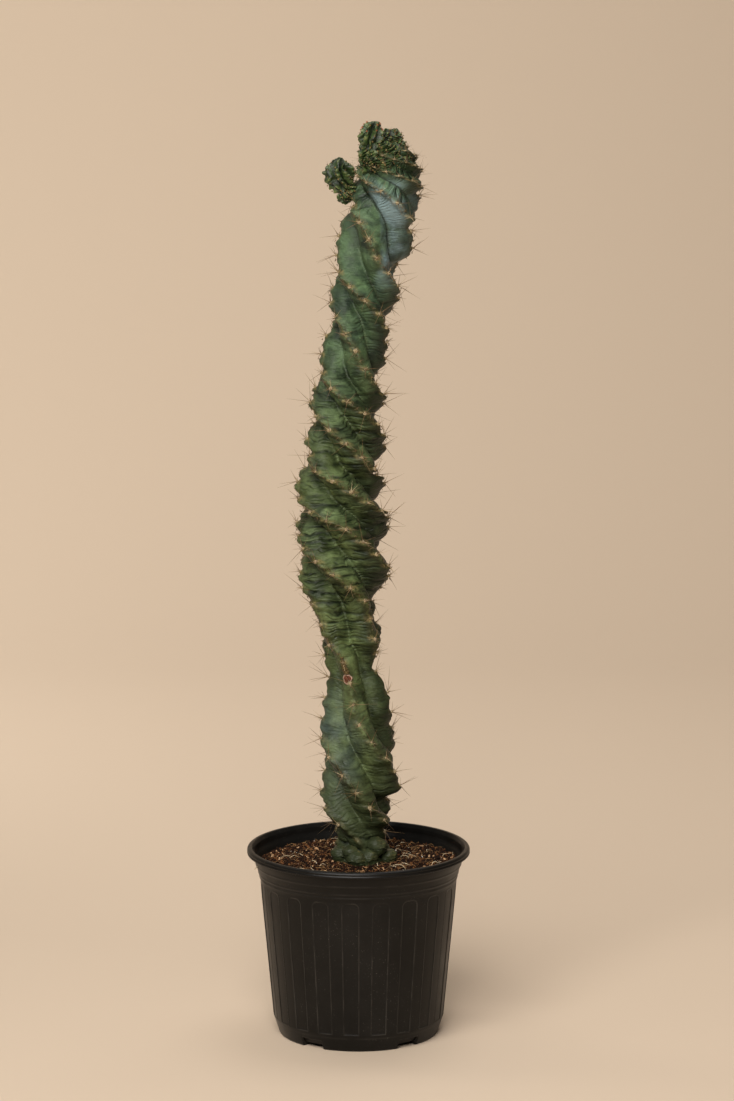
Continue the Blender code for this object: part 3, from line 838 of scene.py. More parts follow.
def waxy_skin():
    """Living cactus skin: a waxy, half-matt cuticle over green flesh, greyer where its bloom is whole.

    Painted shade darkens the creases and the side turned away from the key light, the crests are corky and
    tan, and a pale vein runs down each groove.
    """
    skin, add = new_material("Waxy cactus skin", IOR=1.45, Specular_IOR_Level=0.25)
    place = add("TexCoord", take="Object")
    axes = add("SeparateXYZ", place, take=None)
    height = axes["Z"]
    names = ("across", "flank", "crease", "folds", "areole", "eastward", "relief")
    held = [add("Attribute", take="Fac", attribute_name=name) for name in names]
    across, flank, crease, folds, areole, east, ripe = held

    # Patches of 25 mm from deep to light green
    patches = add("TexNoise", Vector=place, Scale=40.0, Detail=5.0, Roughness=0.65)
    patchy = add("MapRange", patches, 0.36, 0.66)

    # Broad zones, 80 mm across, yellower where the light bleached them
    zones = add("TexNoise", Vector=place, Scale=12.0, Detail=2.0)
    zones = add("MapRange", zones, 0.42, 0.6, 0.0, 0.32)
    zones = add("*", zones, add("MapRange", height, 0.86, 0.76))

    # Younger, bluer green in the upper part
    younger = add("MapRange", height, 0.68, 0.8)

    # Dark blotches, 20 mm across and soft
    blotches = add("TexNoise", Vector=place, Scale=32.0, Detail=1.5, Distortion=0.8)
    blotches = add("MapRange", blotches, 0.5, 0.66, 0.0, 0.62)

    # Painted shade: deeper green on the side turned away from the key light, and a little darker at the far
    # edge of the side the key lights
    painted_shade_away_from_key = add("MapRange", east, 0.4, 0.95, 0.0, 0.75)
    painted_shade_lit_edge = add("MapRange", east, -0.25, -0.8, 0.0, 0.3)

    # Bloom, whole on the growth of the last years near the top, with a slanting edge, and rubbed elsewhere
    leaning = add("MapRange", height, 0.932, 0.988, 0.0, 0.024)
    leaning = add("+", leaning, add("MapRange", height, 0.885, 0.87, 0.0, 0.008))
    beside = add("+", axes["X"], leaning)
    above = add("MapRange", flank, -0.03, 0.05, 0.0, 0.62)
    above = add("*", above, add("MapRange", height, 0.925, 0.94))
    whole = add("MapRange", height, 0.845, 0.905, 0.0, 0.95)
    for share in (
        add("MapRange", height, 0.968, 0.990, 1.0, 0.1),
        add("MapRange", axes["X"], 0.045, 0.056, 1.0, 0.3),
        add("MapRange", beside, 0.023, 0.03),
        add("-", 1.0, above),
    ):
        whole = add("*", whole, share)

    # Thin bloom on the older growth below, laid only on the side that faces the key light, so partly a
    # painted sheen, and, thinner still, on the upper part
    aged_bloom_and_sheen = add("MapRange", height, 0.42, 0.37, 0.0, 0.16)
    for share in (add("MapRange", east, 0.3, -0.3), add("MapRange", height, 0.24, 0.32)):
        aged_bloom_and_sheen = add("*", aged_bloom_and_sheen, share)
    hazy = add("MapRange", height, 0.66, 0.82, 0.0, 0.05)
    whole = add("Math MAXIMUM", add("+", whole, aged_bloom_and_sheen), hazy)
    rubbed = add("TexNoise", Vector=place, Scale=30.0, Detail=4.0, Distortion=0.6)
    bloom_and_sheen = add("*", whole, add("MapRange", rubbed, 0.34, 0.54, 0.2, 1.0))

    # The growing tip is dark, and older growth by the soil is olive and duller, darkened there further as
    # painted contact shade
    tip = add("MapRange", height, 0.975, 0.992, 0.0, 0.75)
    old_skin_and_contact_shade = add("MapRange", height, 0.36, 0.24, 0.0, 0.8)

    # Fine folds, 3 to 4 mm apart, that come and go
    drift = add("*", add("TexNoise", Vector=place, Scale=45.0, Detail=1.0), 3.0)
    fine = add("*", add("*+", folds, 2.3, drift), math.pi)
    fine = add("^", add("Math ABSOLUTE", add("Math SINE", fine)), 0.6)
    kept = add("TexNoise", Vector=place, Scale=60.0, Detail=1.0, Distortion=0.5)
    kept = add("MapRange", kept, 0.42, 0.58, 0.1, 1.0)
    fine_crease = add("MapRange", across, 0.1, 0.3)
    for share in (kept, ripe, add("-", 1.0, fine)):
        fine_crease = add("*", fine_crease, share)

    # Painted shade in the creases between the folds
    dark = add("*+", fine_crease, 0.4, crease)
    dark = add("MapRange", dark, 0.1, 0.65, 0.0, 0.85)

    # Pale vein along the bottom of each groove, 3 mm wide, that fades here and there
    vein = add("*", add("MapRange", across, 0.84, 0.99, 0.0, 0.12), kept)

    # Painted shadow: a dark line down the deep groove beside the flank whose bloom is whole
    painted_groove_shadow = add("MapRange", across, 0.88, 0.98, 0.0, 0.8)
    for share in (add("MapRange", beside, 0.012, 0.02), add("MapRange", height, 0.84, 0.87)):
        painted_groove_shadow = add("*", painted_groove_shadow, share)

    # Shade under the crest, where it hangs over the flank below it
    under = add("MapRange", flank, -0.05, -0.13)
    for share in (add("MapRange", across, 0.16, 0.65, 0.75, 0.0), ripe):
        under = add("*", under, share)

    # Corky crest, olive between the areoles and tan at them, broken every few mm
    crest = add("MapRange", across, 0.26, 0.08)
    broken = add("TexNoise", Vector=place, Scale=260.0, Detail=4.0, Roughness=0.75)
    specks = add("*", add("MapRange", broken, 0.5, 0.4, 0.0, 0.7), crest)
    close = add("MapRange", areole, 0.2, 0.97, 0.3, 0.9)
    corky = add("MapRange", broken, 0.4, 0.6, 0.1, 1.0)
    for share in (crest, close, add("MapRange", height, 0.412, 0.43, 0.4, 1.0)):
        corky = add("*", corky, share)
    bark = layered(add, "#4F5532", [(close, "#857249")])

    bluer = (0.72, 0.88, 0.92, 1.0)
    layers = (
        (patchy, "#68784E"),
        (zones, "#505A2A"),
        (younger, bluer, "MULTIPLY"),
        (blotches, "#17210F"),
        # painted shade on the side away from the key light, and on the edge it lights
        (painted_shade_away_from_key, "#11190A"),
        (painted_shade_lit_edge, "#1E2814"),
        # grey bloom, with a painted sheen on the lit side of the older growth
        (bloom_and_sheen, "#788D90"),
        (tip, "#28391F"),
        # olive older skin, with painted contact shade by the soil
        (old_skin_and_contact_shade, "#2E331F"),
        # painted shade in the creases
        (dark, "#0F160A"),
        (vein, "#8A9A6C"),
        # painted shadow down the groove
        (painted_groove_shadow, "#182015"),
        (under, "#18210F"),
        (corky, bark),
        (specks, "#2A2414"),
    )

    # Relief of the fine folds, wrinkles 6 mm long and 1.5 mm apart, and a grain of 1 mm
    stretched = add("Mapping", Vector=place, Scale=(170.0, 170.0, 640.0))
    wrinkles = add("TexNoise", Vector=stretched, Scale=1.0, Detail=2.0)
    grain = add("TexNoise", Vector=place, Scale=1000.0, Detail=1.0)
    relief = add("*+", grain, 0.25, wrinkles)
    relief = add("*+", fine_crease, -1.5, relief)
    bump = add("Bump", Strength=0.8, Distance=1.2 * MM, Height=relief)
    roughness = add("MapRange", patches, 0.3, 0.7, 0.4, 0.58)
    return feed(skin, layered(add, "#171F0D", layers), roughness, bump)


def young_skin():
    """Young growth: crowded knobs of fresh, dark green skin, yellower at the top of each knob with a painted
    highlight, and painted shade in the hollows between them.
    """
    skin, add = new_material("Young cactus skin", IOR=1.45, Roughness=0.5)
    place = add("TexCoord", take="Object")
    knob, across = (add("Attribute", take="Fac", attribute_name=name) for name in ("knob", "across"))
    patches = add("TexNoise", Vector=place, Scale=130.0, Detail=3.0)
    patchy = add("MapRange", patches, 0.38, 0.62)
    # yellower knob tops with a painted highlight, and painted shade in the hollows between the knobs
    yellow_tips_and_highlights = add("*", add("MapRange", knob, 0.3, 0.9, 0.0, 0.7), patchy)
    painted_hollow_shade = add("MapRange", across, 0.45, 0.9, 0.0, 0.85)
    colour = layered(add, "#121D0B", [(patchy, "#364B21"), (yellow_tips_and_highlights, "#74794A"), (painted_hollow_shade, "#0C1308")])
    grain = add("TexNoise", Vector=place, Scale=900.0, Detail=2.0)
    bump = add("Bump", Strength=0.6, Distance=0.5 * MM, Height=grain)
    return feed(skin, colour, normal=bump)


def layered(add, colour, layers):
    """A colour with others laid over it in turn, each by its share."""
    colour = linear(colour)
    for share, over, *blend in layers:
        both = {0: share, 6: colour, 7: linear(over) if isinstance(over, str) else over}
        colour = add("Mix", both, take=2, data_type="RGBA", blend_type=blend[0] if blend else "MIX")
    return colour


def flecked(name, dark, light, scale, detail=1.0, spread=(0.0, 1.0), **settings):
    """A material flecked from dark to light by noise, what adds a node to it, its noise and its colour."""
    made, add = new_material(name, **settings)
    noisy = add("TexNoise", Vector=add("TexCoord", take="Object"), Scale=scale, Detail=detail)
    return made, add, noisy, layered(add, dark, [(add("MapRange", noisy, *spread), light)])


def wool_felt():
    """Areole wool: short cream hairs matted to felt, greyed by dust."""
    wool = {"Roughness": 1.0, "Sheen_Weight": 0.25}
    felt, _, _, colour = flecked("Cream areole wool", "#4E4029", "#BBA780", 700.0, 2.0, **wool)
    return feed(felt, colour)


def spine_horn(name, dark, light):
    """Horny spine: smooth, slightly glossy, streaked along its length."""
    horn, _, _, colour = flecked(name, dark, light, 90.0, Roughness=0.5, IOR=1.54)
    return feed(horn, colour)


def dry_stuff(name, dark, light, grain_mm):
    """Dry plant stuff, such as bark, coir and dead skin: matt, with a grain from dark to light."""
    matt = {"Roughness": 0.95, "Specular_IOR_Level": 0.1}
    stuff, add, grain, colour = flecked(name, dark, light, 1000.0 / grain_mm, 3.0, (0.35, 0.65), **matt)
    return feed(stuff, colour, normal=add("Bump", Strength=0.6, Distance=0.5 * MM, Height=grain))


def moulded_plastic():
    """Moulded polypropylene: black, half-matt, with a film of dust and a few scuffs."""
    plastic, add = new_material("Moulded black polypropylene", IOR=1.49, Specular_IOR_Level=0.2)
    place = add("TexCoord", take="Object")
    film = add("TexNoise", Vector=place, Scale=14.0, Detail=5.0, Roughness=0.65)
    dusty = add("MapRange", film, 0.4, 0.75)
    specks = add("TexNoise", Vector=place, Scale=650.0, Detail=1.0)
    specks = add("*", add("MapRange", specks, 0.70, 0.78, 0.0, 0.6), dusty)
    rubbed = add("TexNoise", Vector=place, Scale=60.0, Detail=3.0)
    rubbed = add("MapRange", rubbed, 0.35, 0.65, 0.03, 0.28)
    wear = add("*", add("Attribute", take="Fac", attribute_name="wear"), rubbed)
    colour = layered(add, "#0D0C0A", [(dusty, "#181613"), (specks, "#7A756B"), (wear, "#5A554E")])
    grain = add("TexNoise", Vector=place, Scale=900.0, Detail=1.0)
    bump = add("Bump", Strength=0.15, Distance=0.2 * MM, Height=grain)
    return feed(plastic, colour, add("MapRange", film, 0.3, 0.7, 0.3, 0.5), bump)


def painted_backdrop():
    """Matt beige studio paint, seamless from floor to wall."""
    return new_material("Matt beige backdrop", Roughness=0.9, Base_Color=linear("#C5B29C"))[0]


def grid_mesh(name, points):
    """A closed mesh through rows of points in mm, joined round each row, with its doubles merged."""
    rows, columns, _ = points.shape
    index = np.arange(rows * columns).reshape(rows, columns)
    beside = np.roll(index, -1, axis=1)
    quads = np.stack([index[:-1], beside[:-1], beside[1:], index[1:]], axis=-1).reshape(-1, 4)
    mesh = bpy.data.meshes.new(name)
    mesh.from_pydata((points.reshape(-1, 3) * MM).tolist(), [], quads.tolist())
    body = bmesh.new()
    body.from_mesh(mesh)
    bmesh.ops.remove_doubles(body, verts=body.verts, dist=0.001 * MM)
    bmesh.ops.recalc_face_normals(body, faces=body.faces)
    body.to_mesh(mesh)
    body.free()
    mesh.shade_smooth()
    return mesh


def wall_radius(height):
    """Radius of the pot's outer wall at a height."""
    return np.interp(height, [z for _, z in WALL_CORNERS], [r for r, _ in WALL_CORNERS])


def along_path(points, count):
    """Points spaced evenly along a path of corners."""
    points = np.array(points, float)
    lengths = np.concatenate([[0], np.cumsum(np.hypot(*np.diff(points, axis=0).T))])
    at = np.linspace(0, lengths[-1], count)
    return np.stack([np.interp(at, lengths, points[:, 0]), np.interp(at, lengths, points[:, 1])], 1)


def arc(centre, radius, start, end, steps):
    """Points on an arc between two angles in degrees."""
    turns = np.radians(np.linspace(start, end, steps))
    return np.stack([centre[0] + radius * np.cos(turns), centre[1] + radius * np.sin(turns)], 1)


def pot_columns():
    """Angles round the pot, in radians, closest where the panels have their edges."""
    half = np.degrees(PANEL_WIDTH / 2 / WALL_HIGH[0])
    stretches = ((0, 0.45, 3), (0.5, 0.85, 5), (0.89, 1.12, 6))
    near = np.concatenate([np.linspace(*stretch) for stretch in stretches]) * half
    far = np.linspace(1.25 * half, 180 / PANELS, 4)
    right = np.concatenate([near, far])
    one = np.concatenate([-right[:0:-1], right[:-1]])
    turns = [POT_TURN + panel * 360 / PANELS + one for panel in range(PANELS)]
    return np.radians(np.concatenate(turns))


def panel_mask(turns, heights):
    """1 inside the pressed panels and 0 outside, with soft edges and round upper corners."""
    pitch = 2 * math.pi / PANELS
    local = (turns - math.radians(POT_TURN) + pitch / 2) % pitch - pitch / 2
    across = np.abs(local) * WALL_HIGH[0]
    middle = (PANEL_TOP + PANEL_FOOT) / 2
    tall = (PANEL_TOP - PANEL_FOOT) / 2
    over = np.where(heights > middle, PANEL_CORNER, 0.0)
    dx = across - (PANEL_WIDTH / 2 - over)
    dz = np.abs(heights - middle) - (tall - over)
    outside = np.hypot(np.maximum(dx, 0), np.maximum(dz, 0)) + np.minimum(np.maximum(dx, dz), 0)
    share = np.clip(0.5 - (outside - over) / PANEL_EDGE, 0, 1)
    return share * share * (3 - 2 * share)


def store_wear(mesh):
    """Marks the outlines of the panels, the ridges of the collar and the foot's edge as worn."""
    x, y, z = vertices_of(mesh).T
    mask = panel_mask(np.arctan2(x, -y), z)
    outer = np.hypot(x, y) > wall_radius(z) - 1.5
    wear = 4 * mask * (1 - mask)
    for height in (*COLLAR_BEADS, COLLAR_LEDGE, FOOT_BAND[1]):
        wear = np.maximum(wear, np.exp(-(((z - height) / WEAR_WIDTH) ** 2)) * WEAR_ON_RIDGES)
    layer = mesh.attributes.new("wear", "FLOAT", "POINT")
    layer.data.foreach_set("value", (wear * outer).astype(np.float32))


def pot_rows():
    """Rows of (radius, height) from the middle of the floor, over the rim and under the foot."""
    floor_top = ARCH_OF_FLOOR + FLOOR_THICKNESS
    rim_inner = RIM_RADIUS - RIM_WIDTH
    skirt_foot = RIM_TOP - RIM_SKIRT
    skirt_inner = RIM_RADIUS - SKIN
    channel_top = RIM_TOP - RIM_SKIN
    floor_edge = (FOOT_RADIUS - RIM_ROUND, floor_top)
    low = np.array([(0.0, floor_top), floor_edge, (FOOT_BAND[0] - SKIN, FOOT_BAND[1])])
    inner_z = np.concatenate([[60, 110, WALL_HIGH[1], COLLAR_LOW[1]], np.arange(192, 213, 0.9)])
    steps = INNER_LEDGE_STEP * sum(np.tanh((inner_z - ledge) / INNER_LEDGE_WIDTH) for ledge in INNER_LEDGES)
    inner = np.stack([wall_radius(inner_z) - SKIN + steps, inner_z], 1)
    inner_round = SKIRT_INNER_ROUND
    lined = RIM_RADIUS - RIM_LINE_DEPTH
    line_top, line_foot, line_end = (RIM_TOP - drop for drop in RIM_LINE_DROPS)
    rim = np.concatenate(
        [
            arc((rim_inner + RIM_ROUND, RIM_TOP - RIM_ROUND), RIM_ROUND, 180, 90, 5),
            arc((RIM_RADIUS - LIP_ROUND, RIM_TOP - LIP_ROUND), LIP_ROUND, 90, 0, 8),
            [(lined, line_top), (lined, line_foot), (RIM_RADIUS, line_end)],
            arc((RIM_RADIUS - SKIRT_ROUND, skirt_foot + SKIRT_ROUND), SKIRT_ROUND, 0, -90, 4),
            arc((skirt_inner + inner_round, skirt_foot + inner_round), inner_round, -90, -180, 3),
            [(skirt_inner, channel_top), (rim_inner + 1.0, channel_top)],
        ]
    )
    upper = [np.arange(COLLAR_HIGH[1], 178.6, -0.8), np.arange(178, 167, -1.0)]
    outer_z = np.concatenate([*upper, np.linspace(160, 26, 7), np.arange(24, 17, -0.8)])
    beads = sum(BEAD_RISE * np.exp(-(((outer_z - z) / BEAD_WIDTH) ** 2)) for z in COLLAR_BEADS)
    ledge = LEDGE_RISE * (1 - np.tanh((outer_z - COLLAR_LEDGE) / LEDGE_WIDTH))
    ledge = ledge * share_of(outer_z, *COLLAR_FADE)
    outer = np.stack([wall_radius(outer_z) + beads + ledge, outer_z], 1)
    notch_top = foot_at(NOTCH_HEIGHT)
    turn_in = along_path([FOOT_BAND, notch_top], 4)
    arch = [(FOOT_INNER_RADIUS - ARCH_OF_FLOOR, ARCH_OF_FLOOR), (0.0, ARCH_OF_FLOOR)]
    under = np.array([(FOOT_INNER_RADIUS, 0.0), *arch])
    inward = (NOTCH_INNER_RADIUS, 0)
    plain = along_path([notch_top, foot_at(FOOT_ROUND), (FOOT_RADIUS - FOOT_ROUND, 0), inward], FOOT_ROWS)
    opened = along_path([notch_top, (NOTCH_INNER_RADIUS, NOTCH_HEIGHT), inward], FOOT_ROWS)
    return [low, inner, rim], outer, turn_in, plain, opened, under


def foot_at(height):
    """Point of the foot's slope at a height."""
    share = (height - FOOT_ROUND) / (FOOT_BAND[1] - FOOT_ROUND)
    return (FOOT_RADIUS + share * (FOOT_BAND[0] - FOOT_RADIUS), height)


def pot_mesh():
    """The moulded pot with its rolled rim, ringed collar, pressed panels and drainage notches."""
    before, outer, turn_in, plain, opened, under = pot_rows()
    turns = pot_columns()
    notch_pitch = 2 * math.pi / NOTCHES
    notch_first = math.radians(POT_TURN + NOTCH_FIRST)
    local = np.abs((turns - notch_first + notch_pitch / 2) % notch_pitch - notch_pitch / 2)
    half = NOTCH_WIDTH / 2 / (NOTCH_INNER_RADIUS + 10)
    notched = np.clip((half - local) / NOTCH_SOFTNESS + 0.5, 0, 1)
    blocks = [np.repeat(rows[:, None, :], len(turns), axis=1) for rows in (*before, outer, turn_in)]
    mask = panel_mask(turns[None, :], outer[:, 1][:, None])
    blocks[3][:, :, 0] += PANEL_RIDGE * 4 * mask * (1 - mask) - PANEL_DEPTH * mask
    share = notched[None, :, None]
    blocks.append(plain[:, None, :] * (1 - share) + opened[:, None, :] * share)
    blocks.append(np.repeat(under[:, None, :], len(turns), axis=1))
    rows = np.concatenate(blocks)
    reach, height = rows[:, :, 0], rows[:, :, 1]
    points = np.stack([reach * np.sin(turns), -reach * np.cos(turns), height], axis=-1)
    mesh = grid_mesh("pot_shell", points)
    store_wear(mesh)
    return mesh


def soil_edge():
    """Radius at which the soil's top meets the wall."""
    return float(wall_radius(SOIL_TOP - SOIL_EDGE_DROP)) - SKIN


def ground_height(x, y):
    """Height of the soil's surface in mm: a slight mound round the stem, rough by a few mm."""
    radii = (SOIL_FLAT_RADIUS, SOIL_SHOULDER_RADIUS, soil_edge())
    drop = float(np.interp(math.hypot(x, y), radii, (0.0, SOIL_SHOULDER_DROP, SOIL_EDGE_DROP)))
    away = (x - STEM_FOOT[0]) ** 2 + (y - STEM_FOOT[1]) ** 2
    mound = SOIL_MOUND * math.exp(-(away / SOIL_MOUND_REACH**2))
    rough = SOIL_ROUGH * noise.fractal(Vector((x, y, SEED)) / SOIL_LUMP, 0.8, 2.0, 4)
    return SOIL_TOP - SOIL_SINK - drop + mound + rough


def soil_mesh():
    """The potting mix that fills the pot, with a rough top."""
    inset = SKIN + SOIL_CLEARANCE
    floor = ARCH_OF_FLOOR + FLOOR_THICKNESS + SOIL_CLEARANCE
    turns = np.linspace(0, math.tau, SOIL_COLUMNS, endpoint=False)
    round_it = [(math.sin(turn), -math.cos(turn)) for turn in turns]
    points = []
    for r in np.linspace(0, soil_edge() - SOIL_CLEARANCE, SOIL_ROWS):
        points.append([(r * x, r * y, ground_height(r * x, r * y)) for x, y in round_it])
    side = [(r - inset, z) for r, z in (COLLAR_MIDDLE, COLLAR_LOW, WALL_HIGH, FOOT_BAND)]
    for r, z in (*side, (FOOT_RADIUS - inset, floor), (0.0, floor)):
        points.append([(r * x, r * y, z) for x, y in round_it])
    return grid_mesh("soil_bed", np.array(points))


def ground_patch():
    """The open top of the soil, out to the wall and without the stem's foot, to scatter bits on."""
    edge = soil_edge() - 2.0
    count = int(2 * edge / PATCH_STEP) + 1
    line = np.linspace(-edge, edge, count)
    faces = []
    for j in range(count - 1):
        for i in range(count - 1):
            x, y = (line[i] + line[i + 1]) / 2, (line[j] + line[j + 1]) / 2
            foot = math.hypot(x - STEM_FOOT[0], y - STEM_FOOT[1])
            if math.hypot(x, y) < edge and foot > STEM_FOOT_RADIUS:
                at = j * count + i
                faces.append((at, at + 1, at + count + 1, at + count))
    mesh = bpy.data.meshes.new("ground")
    mesh.from_pydata([(x * MM, y * MM, ground_height(x, y) * MM) for y in line for x in line], [], faces)
    return linked("ground", mesh)


def add_scar_piece(name, place, facing, rows, stuff):
    """A small turned piece of (radius, height) rows in mm, standing on the skin and a little uneven."""
    turned = Vector(facing).to_track_quat("Z", "Y")
    points = []
    for reach, height in rows:
        ring = []
        for t in np.linspace(0, math.tau, 28, endpoint=False):
            wide = reach * (1 + 0.1 * math.sin(3 * t + 0.8) + 0.06 * math.sin(7 * t))
            flat = Vector((wide * math.cos(t), wide * 1.1 * math.sin(t), height))
            ring.append(Vector(place) + turned @ flat)
        points.append(ring)
    add_piece(grid_mesh(name, np.array(points)), stuff)


def add_scar(growth):
    """The dried, ring-shaped scar of a lost pup on the front crest, and the torn channel above it."""
    core = dry_stuff("Dead scar core", "#1E0F0A", "#7A4A38", 1.2)
    callus = dry_stuff("Callused scar lip", "#6E5547", "#B89C88", 1.2)
    torn = dry_stuff("Torn dead skin", "#2C2415", "#6B5A3A", 1.5)
    count = float(np.interp(SCAR_HEIGHT, growth["centre"][:, 2], growth["count"]))
    place = settled(on_surface(growth, count, 0, 0.0))[0]
    facing = Vector((place[0] + SCAR_TURN, place[1], 0)).normalized()
    place = place + np.array(facing) * SCAR_LIFT - np.array((SCAR_ASIDE, 0, 0))
    r, deep = SCAR_RADIUS, SCAR_DEPTH
    bowl = [(0.0, 0.4), (0.6 * r, 0.3), (0.82 * r, 0.8), (0.84 * r, -deep), (0.0, -deep)]
    lip = [(0.78 * r, 0.6), (0.83 * r, 1.2), (0.9 * r, 1.4), (r, 0.6), (1.02 * r, -deep), (0.78 * r, -deep)]
    add_scar_piece("scar_core", place, facing, bowl, core)
    add_scar_piece("scar_ring", place, facing, [*lip, lip[0]], callus)
    for step in range(1, TORN_KNOBS + 1):
        at = settled(on_surface(growth, count + TORN_START + TORN_STEP * step, 0, 0.0))[0]
        reach = 3.3 - 0.3 * step
        knob = [(0.0, 1.1), (0.6 * reach, 0.9), (reach, 0.0), (0.9 * reach, -1.5), (0.0, -1.5)]
        add_scar_piece(f"torn_skin_{step}", at, facing, knob, torn)


def add_stage(paint):
    """A seamless floor that curves up into the wall behind."""
    radius, back, high, wide, near = 2.5, 2.1, 7.0, 9.0, 7.0
    profile = [(-near, 0.0)]
    for degrees in range(0, 91, 5):
        turn = math.radians(degrees)
        profile.append((back + radius * math.sin(turn), radius - radius * math.cos(turn)))
    profile.append((back + radius, high))
    points = [(x, y, z) for y, z in profile for x in (-wide, wide)]
    faces = [(2 * i, 2 * i + 1, 2 * i + 3, 2 * i + 2) for i in range(len(profile) - 1)]
    mesh = bpy.data.meshes.new("backdrop")
    mesh.from_pydata(points, [], faces)
    mesh.shade_smooth()
    mesh.materials.append(paint)
    stage = linked("backdrop", mesh)


def add_lights():
    """The studio's lights, as squares with soft edges to their shade, and dim light from all round."""
    for name, place, aim, side, power, colour in LIGHTS:
        data = bpy.data.lights.new(name, "AREA")
        data.size = side
        data.energy = power
        data.color = colour
        light = linked(name, data)
        light.location = place
        light.rotation_euler = (Vector(aim) - Vector(place)).to_track_quat("-Z", "Y").to_euler()
    world = bpy.data.worlds.new("Studio")
    world.use_nodes = True
    background = world.node_tree.nodes["Background"]
    background.inputs["Color"].default_value = linear(WORLD_COLOUR)
    background.inputs["Strength"].default_value = WORLD_STRENGTH
    bpy.context.scene.world = world


def add_camera():
    """The camera of the photograph, above the pot and tilted down a little."""
    data = bpy.data.cameras.new("camera")
    data.lens = CAMERA_LENS
    data.sensor_width = CAMERA_SENSOR
    camera = linked("camera", data)
    camera.location = CAMERA_PLACE
    camera.rotation_euler = Euler((math.radians(CAMERA_TILT), 0, 0))
    bpy.context.scene.camera = camera


def add_growths(skin, young):
    """The column and its heads, each over its own solid, with knobs and lobes; gives their rings."""
    tree = growth_tree()
    column = column_growth()
    values = {
        "Ribs": RIBS,
        "Steps per rib": STEPS_PER_RIB,
        "Fullness": RIB_FULLNESS,
        "Tooth spread": TOOTH_SPREAD,
        "Bead height": BEAD_HEIGHT * MM,
        "Fold height": FOLD_HEIGHT * MM,
        "Knob roughness": 0.0,
        "Warp": 4.0 * MM,
        "Seed": float(SEED),
        "Skin": skin,
    }
    plain = {"Fullness": HEAD_FULLNESS, "Tooth spread": HEAD_TOOTH_SPREAD}
    plain.update({"Bead height": 0.0, "Fold height": 0.0})
    knobby = {**plain, "Steps per rib": HEAD_STEPS_PER_RIB, "Skin": young}
    knobby.update({"Knob roughness": 5.0 * MM, "Warp": 13.0 * MM})
    heads = {}
    jobs = [("stem_skin", column, {}, "cactus_flesh", "stem")]
    for name, head in HEADS.items():
        heads[name] = head_growth(*head)
        changed = {**knobby, "Ribs": heads[name]["ribs"]}
        jobs.append((f"{name}_skin", heads[name], changed, "young_growth", name))
    for number, knob in enumerate(CROWN_KNOBS, 1):
        name = f"crown_knob_{number}"
        heads[name] = knob_growth(*knob, KNOB_RIBS, 40 * number)
        changed = {**knobby, "Ribs": KNOB_RIBS, "Seed": float(SEED + number)}
        jobs.append((name, heads[name], changed, "young_growth", None))
    for number, lobe in enumerate(FOOT_LOBES, 1):
        growth = knob_growth(*lobe, 1, 0)
        growth["turn"] = growth["turn"] + math.pi
        growth.update({relief: growth[relief] * 0 for relief in ("tooth", "groove", "folds", "relief")})
        changed = {**plain, "Ribs": 1, "Steps per rib": LOBE_STEPS, "Warp": 7.0 * MM}
        changed["Seed"] = float(SEED + number)
        jobs.append((f"foot_lobe_{number}", growth, changed, "cactus_flesh", None))
    for name, growth, changed, slot, solid in jobs:
        piece = grown(name, tree, growth_guide(f"{name}_rings", growth), {**values, **changed})
        if growth is column:
            settle_piece(piece)
        hand_over(piece, solid)
    return column, heads


def spine_values(number, shortest, longest, thickness, least, most, seed):
    """What the tree of spines reads of one kind."""
    values = {"Spines per spot": number, "Least tilt": least, "Most tilt": most, "Seed": seed}
    return {**values, "Shortest": shortest * MM, "Longest": longest * MM, "Thickness": thickness * MM}


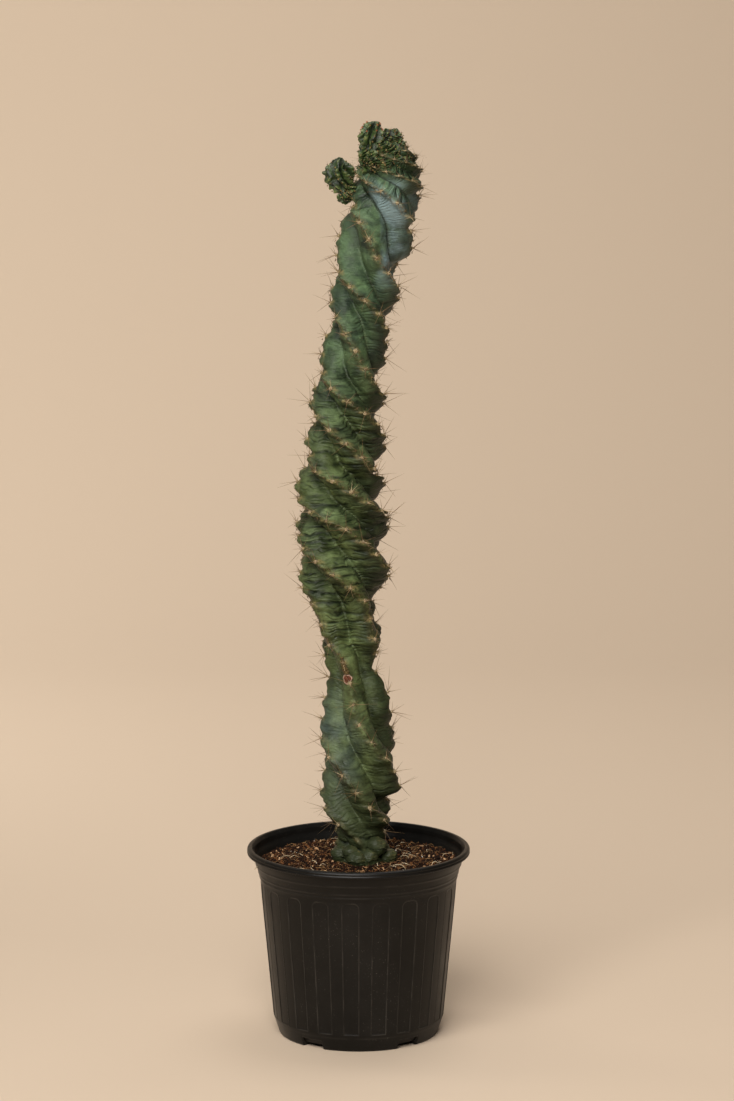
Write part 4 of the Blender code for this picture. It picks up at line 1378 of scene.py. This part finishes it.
def add_spines(column, heads, felt):
    """Felt pads and spines on the column and, smaller, on the heads, rust-red near the top of the tallest."""
    brown = spine_horn("Brown spine horn", "#3E2E1E", "#8C7048")
    pale = spine_horn("Pale spine horn", "#8A7350", "#CDB892")
    cork = spine_horn("Corky stub", "#2E2415", "#7C6840")
    rust = spine_horn("Rust-red young spine", "#6B2E18", "#B9683F")
    young_felt = dry_stuff("Brown wool of young areoles", "#4A3A20", "#8F7B50", 2.0)
    pads, spines = pads_tree(), spines_tree()
    column_spots = settled_spots(crest_spots(column, lowest=NECK[0]))
    head_spots = [spot for growth in heads.values() for spot in crest_spots(growth)]
    high_spots = []
    for growth in heads.values():
        tip = growth["centre"][-1][2]
        if tip > RUST_ABOVE:
            high_spots += crest_spots(growth, lowest=tip - RUST_REACH)
    stub_spots = [spot for phase in STUB_PHASES for spot in crest_spots(column, phase, CORKY_FROM)]
    pad = {"Radius": PAD_RADIUS * MM, "Height": PAD_HEIGHT * MM}
    kinds = [
        ("felt_pads", pads, column_spots, {**pad, "Felt": felt}),
        ("head_felt_pads", pads, head_spots, {**pad, "Felt": young_felt}),
    ]
    for name, spots, horn in (
        ("spines_brown", column_spots, brown),
        ("spines_pale", column_spots, pale),
        ("crest_stubs", settled_spots(stub_spots), cork),
        ("head_bristles", head_spots, brown),
        ("head_rust_bristles", high_spots, rust),
    ):
        kinds.append((name, spines, spots, {**spine_values(*SPINES[name]), "Horn": horn}))
    for name, tree, spots, values in kinds:
        piece = grown(name, tree, spots_guide(f"{name}_spots", spots), values)
        hand_over(piece)


def add_soil():
    """The soil's body, and crumbs, chips, pale bits and fibres on it."""
    moist = dry_stuff("Moist coir and bark mix", "#0C0603", "#1C1109", 4.0)
    add_piece(soil_mesh(), moist, "soil")
    crumbs = bits_tree("Soil crumbs", ("Smallest", "Largest", "Flatness"), crumb_shape)
    fibres = bits_tree("Soil fibres", ("Smallest", "Largest", "Thickness"), fibre_shape)
    bits = (
        ("soil_bark", "Dark bark crumbs", "#120A05", "#2B180E", 6.0, crumbs, 85000, 0.9, 3.2, 0.8),
        ("soil_coir", "Brown coir crumbs", "#352013", "#684427", 6.0, crumbs, 50000, 0.7, 3.0, 0.8),
        ("soil_chips", "Tan bark chips", "#8A6546", "#C9A47C", 8.0, crumbs, 9000, 0.8, 3.2, 0.5),
        ("soil_grit", "Perlite grit", "#A9A092", "#E4DED2", 5.0, crumbs, 1300, 0.6, 1.8, 1.0),
        ("soil_fibres", "Coir fibre", "#5A3C26", "#98774F", 12.0, fibres, 13000, 4.0, 12.0, 0.28),
        ("soil_husks", "Dry root and husk", "#A08A6C", "#D8C7A6", 12.0, fibres, 1500, 6.0, 20.0, 0.4),
    )
    for number, (name, stuff, dark, light, grain, tree, dense, small, large, thin) in enumerate(bits):
        more = {"Flatness": thin} if tree is crumbs else {"Thickness": thin * MM, "Lift": FIBRE_LIFT * MM}
        values = {"Per square metre": float(dense), "Smallest": small * MM, "Largest": large * MM, **more}
        values.update({"Seed": SEED + number, "Stuff": dry_stuff(stuff, dark, light, grain)})
        hand_over(grown(name, tree, ground_patch(), values))


def main():
    add_camera()
    add_lights()
    add_stage(painted_backdrop())
    add_piece(pot_mesh(), moulded_plastic(), "pot")
    add_soil()
    column, heads = add_growths(waxy_skin(), young_skin())
    add_spines(column, heads, wool_felt())
    add_scar(column)
    bpy.context.scene.view_settings.view_transform = "Standard"


main()
